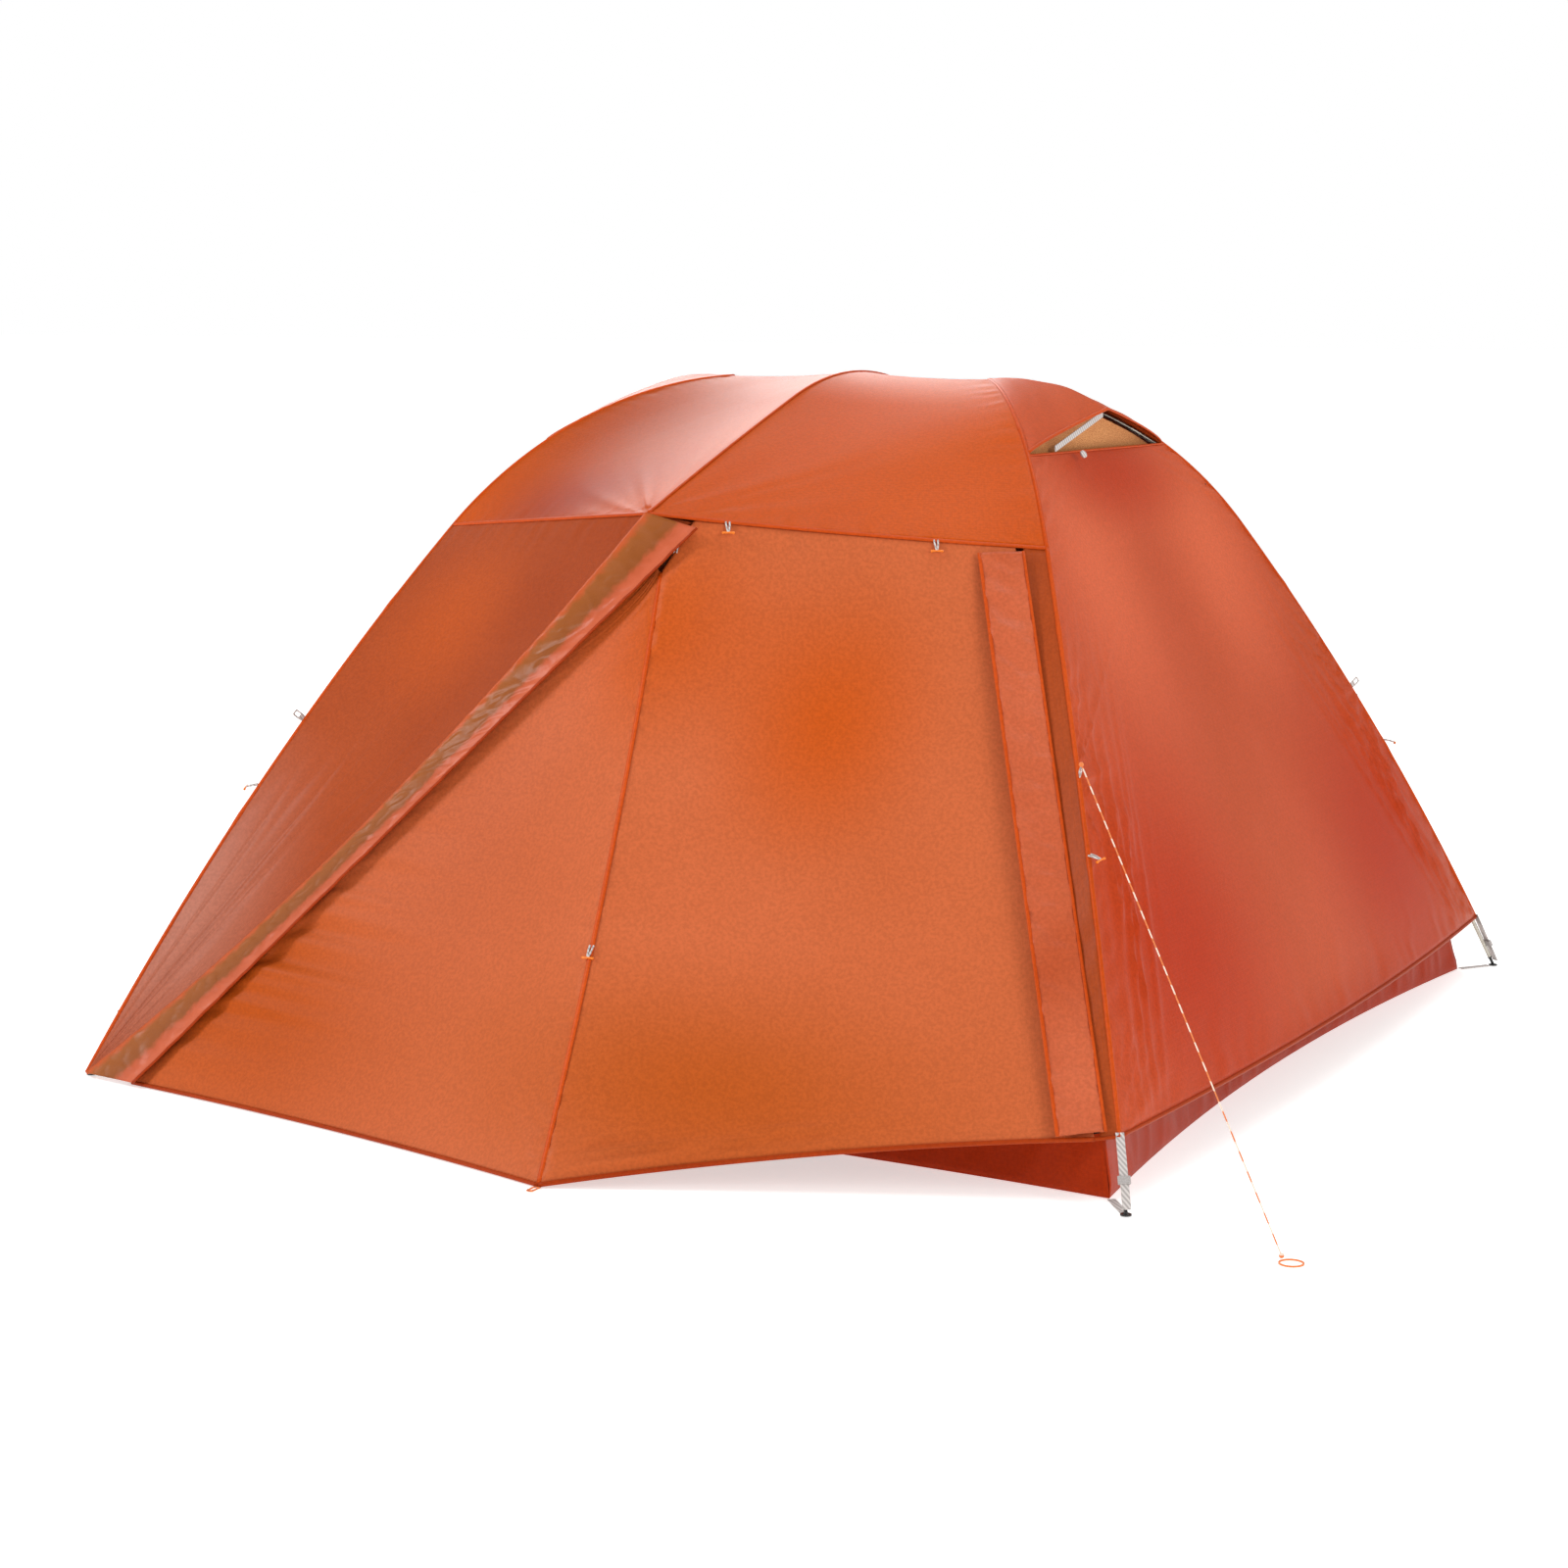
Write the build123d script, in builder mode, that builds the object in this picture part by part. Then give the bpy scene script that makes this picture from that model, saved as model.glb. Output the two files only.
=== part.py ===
from build123d import *
from math import asin, atan2, cos, degrees, radians, sin
import os

# Free-standing frame tent: a hubbed ridge pole with four legs, a brow pole across it, an inner
# tent with a tray floor, and a fly of sewn panels with a zipped vestibule at the front and back.
# X runs along the ridge, the front vestibule faces -Y, and Z is up from the ground.

# ---------------------------------------------------------------- driving dimensions, mm
foot_x = 1090.0             # pole feet, half spacing along the ridge
foot_y = 1220.0             # pole feet, half spacing from front to back
hub_x = 298.0               # ridge hubs, half spacing
ridge_z = 1362.0            # ridge pole centre line
pole_d = 9.0                # pole tube, outside
pole_wall = 1.0
ferrule_d = pole_d + 2.0
ferrule_length = 58.0
ferrule_slack = 0.8
hub_r = 12.0
hub_t = 16.0

leg_start_slope = 3.0       # degrees below level where a leg leaves its hub
leg_bend_lead = 3.9         # degrees by which the upper bend ends steeper than the whole leg
leg_bend_run = 660.0        # plan length of the upper bend
tip_length = 24.0           # foot tip, below the end of the leg
tip_r = 3.4
tip_collar = 5.0
cap_r = 5.3                 # brow pole's end cap
cap_l = 7.0
cap_nose = 2.0
foot_setback = 12.0         # plan distance from the end of a leg to its foot

brow_reach = 915.0          # brow pole, half length in plan
brow_end_z = ridge_z - 241.0
brow_crown_run = 300.0      # plan length of half the crown
brow_crown_slope = 17.5
brow_end_room = 40.0        # brow pole stops this far short of the roof's corner
brow_lift = 3.0             # gap between the crossing poles, filled by the swivel

skin = 1.2                  # fly cloth
inner_skin = 1.0            # inner tent cloth
seam_stand = 12.0           # fly seam above a pole's centre line
seam_gap = 2.5              # each panel stops this far short of its seam line

roof_seam_run = 652.0       # plan distance along a leg to the roof seam
vent_run = 440.0            # plan distance along a leg to the vent hood's free edge
hem_run = 1386.0            # plan distance along a leg to the fly's raised corner
low_corner_out = 12.0       # past the foot, at the corners where the fly reaches the ground
stake_x = 125.0             # vestibule stake loop
stake_y = 1533.0
hem_lift = 5.0              # vestibule hem above the ground
end_hem_bow = 40.0          # end wall's hem, bowed out at its middle
hood_rise = 78.0            # vent hood's peak above the wall's top edge
hood_out = 20.0

tray_x = 1028.0             # tray floor, half size at its corners
tray_y = 1135.0
tray_bow = 68.0             # the floor's edges curve in by this much
tray_height = 130.0
tray_lean = 26.0            # the tray's wall leans in by this much
tray_skin = 1.5
inner_inset = 46.0          # inner tent inside a leg's centre line
inner_top_run = 120.0

tape_w = 20.0               # zip tape
tape_t = 0.8
coil_w = 4.0
coil_h = 1.6
slider_w = 10.0
slider_l = 14.0
slider_h = 4.8
post_h = 7.5                # post that carries the pull
bare_post_h = 4.0           # post of a slider without a pull
run_gap = 0.45              # slider to coil and to tape
pull_w = 5.0
pull_t = 1.4
pull_l = 40.0
zip_start = 30.0            # slider's rest place from the end of its zip
flap_w = 24.0               # storm flap beyond its zip
flap_stand = 16.0           # storm flap in front of its zip
leg_flap_w = 66.0           # storm flap of the zip beside the leg

webbing_w = 15.0
webbing_t = 1.6
guy_run = 985.0             # plan distance along a leg to its guy-out loop
guy_loop = 24.0
line_d = 2.6

os.makedirs("parts", exist_ok=True)


# ---------------------------------------------------------------- points, seams and panels
def move(p, q, k=1.0):
    return tuple(a + k * b for a, b in zip(p, q))


def mix(p, q, t):
    return tuple(a + (b - a) * t for a, b in zip(p, q))


def heading(p, q):
    return (Vector(*q) - Vector(*p)).normalized()


def pole_arcs(start_slope, bend_slope, bend_run, total_run, top_z, end_z):
    """Two tangent arcs of a pre-bent pole, each as its radius, its slopes in radians, and the
    plan distance and height where it starts."""
    a, b = radians(start_slope), radians(bend_slope)
    r1 = bend_run / (sin(b) - sin(a))
    bend_z = top_z - r1 * (cos(a) - cos(b))
    end = 2 * atan2(bend_z - end_z, total_run - bend_run) - b
    r2 = (total_run - bend_run) / (sin(end) - sin(b))
    return [(r1, a, b, 0.0, top_z), (r2, b, end, bend_run, bend_z)]


def arc_point(arcs, run, out=0.0):
    """Plan distance, height and slope at a plan distance, moved out along the normal."""
    radius, first, last, start, top = arcs[0] if run <= arcs[1][3] else arcs[1]
    turn = asin(min(sin(last), sin(first) + (run - start) / radius))
    z = top - radius * (cos(first) - cos(turn))
    return run + out * sin(turn), z + out * cos(turn), turn


leg_run = Vector(foot_x - hub_x, foot_y, 0).length
leg_end_z = 0.86 * tip_length + tip_r
leg_bend_slope = degrees(atan2(ridge_z, leg_run)) + leg_bend_lead
leg_arcs = pole_arcs(leg_start_slope, leg_bend_slope, leg_bend_run,
                     leg_run - foot_setback, ridge_z, leg_end_z)
brow_top_z = ridge_z + pole_d + brow_lift
brow_arcs = pole_arcs(0, brow_crown_slope, brow_crown_run, brow_reach, brow_top_z, brow_end_z)


def leg_point(sx, sy, run, out=0.0):
    reach, z, turn = arc_point(leg_arcs, run, out)
    share = reach / leg_run
    return (sx * (hub_x + (foot_x - hub_x) * share), sy * foot_y * share, z)


def brow_point(sy, run, out=0.0):
    reach, z, turn = arc_point(brow_arcs, run, out)
    return (0.0, sy * reach, z)


def straight(p, q, sag=(0, 0, 0)):
    """A seam from p to q that sags by a vector at its middle."""
    return lambda t: move(mix(p, q, t), sag, 4 * t * (1 - t))


def leg_seam(sx, sy, run_0, run_1, out=seam_stand):
    return lambda t: leg_point(sx, sy, run_0 + (run_1 - run_0) * t, out)


def distance(p, q):
    return (Vector(*q) - Vector(*p)).length


def inset(length, gap):
    """A gap as a share of a length, at both ends."""
    return gap / max(length, 4 * gap)


def panel(seams, thickness, rows=7, gap=seam_gap):
    """A sewn panel between four seams (bottom, top, left, right), thickened inwards, and short
    of each seam by the gap."""
    bottom, top, left, right = seams

    def point(u, v):
        edges = move(mix(bottom(u), top(u), v), mix(left(v), right(v), u))
        ends = mix(mix(bottom(0), bottom(1), u), mix(top(0), top(1), u), v)
        return move(edges, ends, -1)

    def grid_point(i, j):
        u, v = i / (rows - 1), j / (rows - 1)
        gap_v = inset(distance(bottom(u), top(u)), gap)
        v = gap_v + (1 - 2 * gap_v) * v
        gap_u = inset(distance(left(v), right(v)), gap)
        return Vector(*point(gap_u + (1 - 2 * gap_u) * u, v))

    face = Face.make_surface_from_array_of_points(
        [[grid_point(i, j) for j in range(rows)] for i in range(rows)])
    middle = Vector(*point(0.5, 0.5))
    outward = Vector(middle.X, middle.Y, middle.Z - 300)
    side = -1 if face.normal_at(middle).dot(outward) > 0 else 1
    with BuildPart() as cloth:
        thicken(face, amount=side * thickness)
    return cloth


def save(piece, name):
    piece.part.label = name
    export_step(piece.part, f"parts/{name}.step")


def twin(piece, about):
    with BuildPart() as other:
        mirror(piece.part, about=about)
    return other


def group(pieces):
    """Separate solids kept as one node."""
    with BuildPart() as together:
        for piece in pieces:
            add(piece.part)
    return together


def save_front_and_back(piece, name):
    save(piece, f"{name}_front")
    save(twin(piece, Plane.XZ), f"{name}_back")


# ---------------------------------------------------------------- poles
def swept_tube(path_arcs, plane, run_limit, both_ways=False):
    """A pole along its two arcs, drawn in a plane whose x is plan distance and y is height."""
    far = arc_point(path_arcs, run_limit)
    bend = arc_point(path_arcs, path_arcs[1][3])
    start = arc_point(path_arcs, 0.0)
    middle_1 = arc_point(path_arcs, path_arcs[1][3] / 2)
    middle_2 = arc_point(path_arcs, (path_arcs[1][3] + run_limit) / 2)
    with BuildPart() as pole:
        with BuildLine(plane) as path:
            if both_ways:
                ThreePointArc((-far[0], far[1]), (-middle_2[0], middle_2[1]), (-bend[0], bend[1]))
                ThreePointArc((-bend[0], bend[1]), start[:2], bend[:2])
            else:
                ThreePointArc(start[:2], middle_1[:2], bend[:2])
            ThreePointArc(bend[:2], middle_2[:2], far[:2])
        with BuildSketch(Plane(origin=path.line @ 0, z_dir=path.line % 0)):
            Circle(pole_d / 2)
            Circle(pole_d / 2 - pole_wall, mode=Mode.SUBTRACT)
        sweep(path=path.line)
    return pole


def leg_plane(sx, sy):
    return Plane(origin=(sx * hub_x, 0, 0),
                 x_dir=(sx * (foot_x - hub_x), sy * foot_y, 0),
                 z_dir=(sy * foot_y, -sx * (foot_x - hub_x), 0))


corners = {"front_right": (1, -1), "back_right": (1, 1), "front_left": (-1, -1), "back_left": (-1, 1)}
leg_stop_run = leg_run - foot_setback

with BuildPart() as leg:
    add(swept_tube(leg_arcs, leg_plane(1, -1), leg_stop_run).part)
    with Locations((hub_x, 0, ridge_z)):
        Cylinder(hub_r - 1.0, 3 * hub_r, mode=Mode.SUBTRACT)
save(leg, "leg_pole_front_right")
save(twin(leg, Plane.XZ), "leg_pole_back_right")
save(twin(leg, Plane.YZ), "leg_pole_front_left")
save(twin(twin(leg, Plane.YZ), Plane.XZ), "leg_pole_back_left")

with BuildPart() as ridge_pole:
    with BuildSketch(Plane.YZ.offset(-hub_x + hub_r - 1.0)):
        with Locations((0, ridge_z)):
            Circle(pole_d / 2)
            Circle(pole_d / 2 - pole_wall, mode=Mode.SUBTRACT)
    extrude(amount=2 * (hub_x - hub_r + 1.0))
save(ridge_pole, "ridge_pole")

brow_stop = brow_reach - brow_end_room
save(swept_tube(brow_arcs, Plane.YZ, brow_stop, both_ways=True), "brow_pole")


def hub(side):
    """A moulded hub: a round boss with a socket collar for the ridge pole and for each leg."""
    with BuildPart() as moulding:
        with Locations((side * hub_x, 0, ridge_z)):
            Cylinder(hub_r, hub_t)
        for sx, sy in ((side, -1), (side, 1)):
            near = Vector(*leg_point(sx, sy, hub_r))
            far = Vector(*leg_point(sx, sy, 3.2 * hub_r))
            with BuildSketch(Plane(origin=near, z_dir=far - near)):
                Circle(pole_d / 2 + 2.0)
            extrude(amount=(far - near).length)
        with BuildSketch(Plane.YZ.offset(side * (hub_x - 3 * hub_r))):
            with Locations((0, ridge_z)):
                Circle(pole_d / 2 + 2.0)
        extrude(amount=side * 3 * hub_r)
        add(leg.part if side > 0 else twin(leg, Plane.YZ).part, mode=Mode.SUBTRACT)
        other = twin(leg, Plane.XZ) if side > 0 else twin(twin(leg, Plane.YZ), Plane.XZ)
        add(other.part, mode=Mode.SUBTRACT)
        add(ridge_pole.part, mode=Mode.SUBTRACT)
    return moulding


save(group([hub(1), hub(-1)]), "ridge_hubs")

with BuildPart() as brow_swivel:
    with BuildSketch(Plane.XY.offset(ridge_z - pole_d / 2 - 2.0)):
        RectangleRounded(22, 16, 4)
    extrude(amount=brow_top_z - ridge_z + 2.0)
    with BuildSketch(Plane.YZ.offset(-20)):
        with Locations((0, ridge_z)):
            Circle(pole_d / 2 + 0.15)
    extrude(amount=40, mode=Mode.SUBTRACT)
    with BuildSketch(Plane.XZ.offset(-20)):
        with Locations((0, brow_top_z)):
            Circle(pole_d / 2 + 0.35)
    extrude(amount=40, mode=Mode.SUBTRACT)
save(brow_swivel, "brow_swivel")


def sleeve(p, q, length, inside, outside):
    """A straight sleeve at p that points towards q."""
    with BuildPart() as ring:
        with BuildSketch(Plane(origin=p, z_dir=heading(p, q))):
            Circle(outside / 2)
            Circle(inside / 2, mode=Mode.SUBTRACT)
        extrude(amount=length)
    return ring


ferrule_runs = (leg_bend_run * 0.55, leg_bend_run * 1.15, leg_bend_run * 1.7)
ferrules = []
for sx, sy in corners.values():
    for run in ferrule_runs:
        p, q = leg_point(sx, sy, run), leg_point(sx, sy, run + 12)
        ferrules.append(sleeve(p, q, ferrule_length / 2, pole_d + ferrule_slack, ferrule_d))
for sy in (-1, 1):
    p, q = brow_point(sy, 480), brow_point(sy, 492)
    ferrules.append(sleeve(p, q, ferrule_length / 2, pole_d + ferrule_slack, ferrule_d))
save(group(ferrules), "pole_ferrules")


def turning_plane(root, lead):
    """A plane whose y runs along a turned piece's axis."""
    side = lead.cross(Vector(0, 0, 1)).normalized()
    return Plane(origin=root, x_dir=side, z_dir=side.cross(lead))


def foot_axis(sx, sy):
    """Where a leg's tube ends, which way it heads, and how far on its tip's ball stands."""
    top = leg_point(sx, sy, leg_stop_run)
    lead = heading(leg_point(sx, sy, leg_stop_run - 10), top)
    return Vector(*top), lead, (top[2] - tip_r) / -lead.Z


def foot_tip(sx, sy):
    """A turned tip pressed on a leg's end, with a ball that stands in the corner's grommet."""
    top, lead, drop = foot_axis(sx, sy)
    with BuildPart() as tip:
        with BuildSketch(turning_plane(top, lead)):
            with BuildLine():
                Polyline((0, drop + tip_r), (0, 0), (pole_d / 2, 0), (pole_d / 2, tip_collar),
                         (tip_r, tip_collar), (tip_r, drop))
                CenterArc((0, drop), tip_r, 0, 90)
            make_face()
        revolve(axis=Axis(top, lead))
    return tip


def brow_cap(sy):
    """A moulded cap with a rounded nose on the brow pole's end."""
    end, inner = brow_point(sy, brow_stop), brow_point(sy, brow_stop - 10)
    lead = heading(inner, end)
    with BuildPart() as cap:
        with BuildSketch(turning_plane(end, lead)):
            with BuildLine():
                Polyline((cap_r - cap_nose, cap_l), (0, cap_l), (0, 0), (cap_r, 0),
                         (cap_r, cap_l - cap_nose))
                CenterArc((cap_r - cap_nose, cap_l - cap_nose), cap_nose, 0, 90)
            make_face()
        revolve(axis=Axis(end, lead))
    return cap


save(group([foot_tip(sx, sy) for sx, sy in corners.values()] + [brow_cap(-1), brow_cap(1)]),
     "pole_tips")

# ---------------------------------------------------------------- fly seams, front half
crossing = brow_point(-1, 0, seam_stand)
crest = leg_point(1, -1, 0, seam_stand)
hub_right_top = (hub_x, 0.0, crest[2])
brow_end = brow_point(-1, brow_reach, seam_stand)
seam_right = leg_point(1, -1, roof_seam_run, seam_stand)
seam_left = leg_point(-1, -1, roof_seam_run, seam_stand)
corner_right = leg_point(1, -1, hem_run, seam_stand)
corner_left = (-foot_x - 4, -foot_y - low_corner_out, hem_lift + 3)
stake = (stake_x, -stake_y, hem_lift)

roof_right = panel((straight(brow_end, seam_right, (0, 0, -4)),
                    straight(crossing, hub_right_top, (0, 0, -5)),
                    lambda t: brow_point(-1, brow_reach * (1 - t), seam_stand),
                    lambda t: leg_point(1, -1, roof_seam_run * (1 - t), seam_stand)), skin)
roof_left = twin(roof_right, Plane.YZ)
save(group([roof_right, twin(roof_right, Plane.XZ)]), "fly_roof_right")
save(group([roof_left, twin(roof_left, Plane.XZ)]), "fly_roof_left")


# ---------------------------------------------------------------- end walls and vent hoods
def hood_edge(t):
    """The hood's free edge, from the front leg up to its peak and down to the back leg."""
    p, q = leg_point(1, -1, vent_run, seam_stand), leg_point(1, 1, vent_run, seam_stand)
    peak = (1 - abs(2 * t - 1)) ** 0.8
    return move(mix(p, q, t), (hood_out, 0, hood_rise), peak)


def wall_top(t):
    p = leg_point(1, -1, vent_run + 8, seam_stand)
    q = leg_point(1, 1, vent_run + 8, seam_stand)
    return mix(p, q, t)


hood_root_run = 26.0
hood = panel((hood_edge,
              straight(leg_point(1, -1, hood_root_run, seam_stand),
                       leg_point(1, 1, hood_root_run, seam_stand)),
              leg_seam(1, -1, vent_run, hood_root_run),
              leg_seam(1, 1, vent_run, hood_root_run)), skin)
save(hood, "vent_hood_right")
save(twin(hood, Plane.YZ), "vent_hood_left")

end_wall = panel((straight(corner_right, leg_point(1, 1, hem_run, seam_stand), (end_hem_bow, 0, 0)),
                  wall_top,
                  leg_seam(1, -1, hem_run, vent_run + 8),
                  leg_seam(1, 1, hem_run, vent_run + 8)), skin)
save(end_wall, "end_wall_right")
save(twin(end_wall, Plane.YZ), "end_wall_left")

# ---------------------------------------------------------------- vestibule seams
zip_top = (80.0, -873.0, 1112.0)
zip_foot = (-968.0, -1252.0, hem_lift + 3)
leg_zip_top = move(seam_right, (-52, -34, -6))
leg_zip_foot = move(corner_right, (-34, -18, -4))

fold_sag = (-14.0, 8.0, -66.0)
fold_foot = move(corner_left, (10, -10, 0))
fold = straight(brow_end, fold_foot, fold_sag)


class ZipFrame:
    """A straight zip: its ends, and the directions along it, across it and out of the cloth."""

    def __init__(self, top, foot, beside):
        self.top, self.foot = top, foot
        self.length = distance(top, foot)
        self.along = heading(top, foot)
        out = self.along.cross(heading(top, beside)).normalized()
        self.out = out if out.Y < 0 else -out
        self.across = self.out.cross(self.along)

    def at(self, down, across=0.0, out=0.0):
        p = move(self.top, tuple(self.along), down)
        return move(move(p, tuple(self.across), across), tuple(self.out), out)

    def plane(self, down, out=0.0):
        return Plane(origin=self.at(down, 0, out), x_dir=self.along, z_dir=self.out)


diagonal = ZipFrame(zip_top, zip_foot, stake)
upright = ZipFrame(leg_zip_top, leg_zip_foot, stake)


# ---------------------------------------------------------------- vestibule panels
zip_edge = 5.0              # panel seams lie this far from a zip's centre
door_seam_top = diagonal.at(0.07 * diagonal.length, 26)


def zip_line(frame, across, out=0.0, first=0.0):
    """A line beside a zip, from its foot up to a distance from its top."""
    return lambda t: frame.at(frame.length + (first - frame.length) * t, across, out)


def door_top(t):
    """The door's top edge: up beside the diagonal zip, then under the roof seam."""
    turn = 1 / 6
    knee = diagonal.at(0, zip_edge)
    if t < turn:
        return mix(door_seam_top, knee, t / turn)
    return mix(knee, upright.at(0, -zip_edge), (t - turn) / (1 - turn))


def low_leg_seam(t):
    """The left leg's seam, drawn down to the fly's corner on the ground."""
    run = leg_stop_run + (roof_seam_run - leg_stop_run) * t
    shift = move(corner_left, leg_point(-1, -1, leg_stop_run, seam_stand), -1)
    return move(leg_point(-1, -1, run, seam_stand), shift, (1 - t) ** 8)


centre_seam = straight(stake, door_seam_top, (0, 26, 0))
side_skirt = panel((straight(corner_left, fold_foot), straight(seam_left, brow_end),
                    low_leg_seam,
                    lambda t: fold(1 - t)), skin)
zip_facing = panel((straight(fold_foot, diagonal.at(diagonal.length, -zip_edge)),
                    straight(brow_end, diagonal.at(0, -zip_edge)),
                    lambda t: fold(1 - t),
                    zip_line(diagonal, -zip_edge)), skin)
save_front_and_back(group([side_skirt, zip_facing]), "vestibule_side")

door_left = panel((straight(diagonal.at(diagonal.length, zip_edge), stake, (8, 20, 0)),
                   straight(diagonal.at(0.07 * diagonal.length, zip_edge), door_seam_top),
                   zip_line(diagonal, zip_edge, first=0.07 * diagonal.length),
                   centre_seam), skin)
save_front_and_back(door_left, "door_left")

door_right = panel((straight(stake, upright.at(upright.length, -zip_edge), (0, 12, 12)),
                    door_top,
                    centre_seam,
                    zip_line(upright, -zip_edge)), skin, rows=13)
save_front_and_back(door_right, "door_right")

leg_strip = panel((straight(upright.at(upright.length, zip_edge), corner_right),
                   straight(upright.at(0, zip_edge), seam_right),
                   zip_line(upright, zip_edge),
                   leg_seam(1, -1, hem_run, roof_seam_run)), skin)
leg_flap = panel((straight(upright.at(upright.length - 8, -leg_flap_w, flap_stand),
                           upright.at(upright.length - 8, 16, 0.5 * flap_stand)),
                  straight(upright.at(8, -leg_flap_w, flap_stand + 8),
                           upright.at(8, 16, 0.5 * flap_stand)),
                  lambda t: upright.at(8 + (upright.length - 16) * (1 - t), -leg_flap_w,
                                       flap_stand + 8 * t),
                  lambda t: upright.at(8 + (upright.length - 16) * (1 - t), 16,
                                       0.5 * flap_stand)), skin)
save_front_and_back(group([leg_strip, leg_flap]), "leg_zip_flap")

flap_root = 6.0             # storm flap's root in front of the fold
storm_flap = panel((straight(move(fold_foot, tuple(diagonal.out), flap_root),
                             diagonal.at(diagonal.length - 10, flap_w, flap_stand)),
                    straight(move(brow_end, tuple(diagonal.out), flap_root),
                             diagonal.at(0, flap_w, flap_stand)),
                    lambda t: move(fold(1 - t), tuple(diagonal.out), flap_root),
                    lambda t: diagonal.at((diagonal.length - 10) * (1 - t), flap_w, flap_stand)),
                   skin)
save_front_and_back(storm_flap, "storm_flap")

# ---------------------------------------------------------------- zips
tape_out = -skin - 1.8      # outer face of the tape


def zip_chain(frame):
    """Woven tape with its closed coil on the outside."""
    with BuildPart() as chain:
        with BuildSketch(frame.plane(frame.length / 2, tape_out - tape_t)):
            Rectangle(frame.length - 24, tape_w)
        extrude(amount=tape_t)
        with BuildSketch(frame.plane(frame.length / 2, tape_out)):
            Rectangle(frame.length - 30, coil_w)
        extrude(amount=coil_h)
    return chain


def zip_slider(frame, down, post):
    """A slider that straddles the coil and rides on the tape."""
    with BuildPart() as slider:
        with BuildSketch(frame.plane(down, tape_out + run_gap)):
            RectangleRounded(slider_l, slider_w, 3)
        extrude(amount=slider_h)
        with BuildSketch(frame.plane(down, tape_out)):
            Rectangle(slider_l + 2, coil_w + 2 * run_gap)
        extrude(amount=coil_h + run_gap, mode=Mode.SUBTRACT)
        with BuildSketch(frame.plane(down, tape_out + run_gap + slider_h)):
            Circle(2.0)
        extrude(amount=post)
    return slider


def zip_pull(frame, down):
    """A cord pull with a ring round the slider's post; it hangs down the slope of the cloth."""
    base = tape_out + run_gap + slider_h + post_h - pull_t - 0.2
    fall = Vector(0, 0, -1)
    flat = fall - frame.out * fall.dot(frame.out)
    with BuildPart() as pull:
        with BuildSketch(Plane(origin=frame.at(down, 0, base), x_dir=flat, z_dir=frame.out)):
            Circle(4.2)
            with Locations((pull_l / 2, 0)):
                RectangleRounded(pull_l, pull_w, 1.2)
            with Locations((pull_l, 0)):
                Circle(4.2)
            Circle(2.4, mode=Mode.SUBTRACT)
            with Locations((pull_l * 0.5, 0)):
                RectangleRounded(pull_l * 0.66, 1.8, 0.6, mode=Mode.SUBTRACT)
        extrude(amount=pull_t)
    return pull


save_front_and_back(zip_chain(diagonal), "diagonal_zip")
save_front_and_back(zip_chain(upright), "leg_zip")
save_front_and_back(zip_slider(diagonal, zip_start, post_h), "diagonal_slider")
save_front_and_back(zip_slider(upright, upright.length - zip_start, bare_post_h), "leg_slider")
save_front_and_back(zip_pull(diagonal, zip_start), "zip_pull")

# ---------------------------------------------------------------- inner tent
def tray_outline(inset):
    """The floor's outline: four corners joined by edges that curve in."""
    x, y = tray_x - inset, tray_y - inset
    bow = tray_bow
    with BuildLine() as line:
        ThreePointArc((x, y), (0, y - bow), (-x, y))
        ThreePointArc((-x, y), (-x + bow, 0), (-x, -y))
        ThreePointArc((-x, -y), (0, -y + bow), (x, -y))
        ThreePointArc((x, -y), (x - bow, 0), (x, y))
    return line.line


def tray_shape(low, high, inset):
    with BuildPart() as shape:
        for z in (low, high):
            with BuildSketch(Plane.XY.offset(z)):
                add(tray_outline(inset + tray_lean * z / tray_height))
                make_face()
        loft(ruled=True)
    return shape


with BuildPart() as floor_tray:
    add(tray_shape(0, tray_height, 0).part)
    add(tray_shape(tray_skin, tray_height + 1, tray_skin).part, mode=Mode.SUBTRACT)
save(floor_tray, "floor_tray")

wall_gap = 3.0
inner_foot_run = 1350.0


def tray_corner(sx, sy):
    return (sx * (tray_x - tray_lean), sy * (tray_y - tray_lean), tray_height + wall_gap)


def inner_leg(sx, sy):
    """An inner corner seam, from the tray's corner up inside the leg."""
    foot_shift = move(tray_corner(sx, sy), leg_point(sx, sy, inner_foot_run, -inner_inset), -1)

    def seam(t):
        run = inner_foot_run + (inner_top_run - inner_foot_run) * t
        return move(leg_point(sx, sy, run, -inner_inset), foot_shift, (1 - t) ** 2)
    return seam


inner_seams = {name: inner_leg(sx, sy) for name, (sx, sy) in corners.items()}
n_seam, r_seam = inner_seams["front_right"], inner_seams["back_right"]
l_seam, b_seam = inner_seams["front_left"], inner_seams["back_left"]
inner_right = panel((straight(n_seam(0), r_seam(0), (-tray_bow, 0, 0)),
                     straight(n_seam(1), r_seam(1)), n_seam, r_seam), inner_skin)
inner_front = panel((straight(l_seam(0), n_seam(0), (0, tray_bow, 0)),
                     straight(l_seam(1), n_seam(1)), l_seam, n_seam), inner_skin)
save(inner_right, "inner_wall_right")
save(twin(inner_right, Plane.YZ), "inner_wall_left")
save_front_and_back(inner_front, "inner_wall")
inner_roof = panel((straight(l_seam(1), n_seam(1)), straight(b_seam(1), r_seam(1)),
                    straight(l_seam(1), b_seam(1)), straight(n_seam(1), r_seam(1))), inner_skin)
save(inner_roof, "inner_roof")


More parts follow.
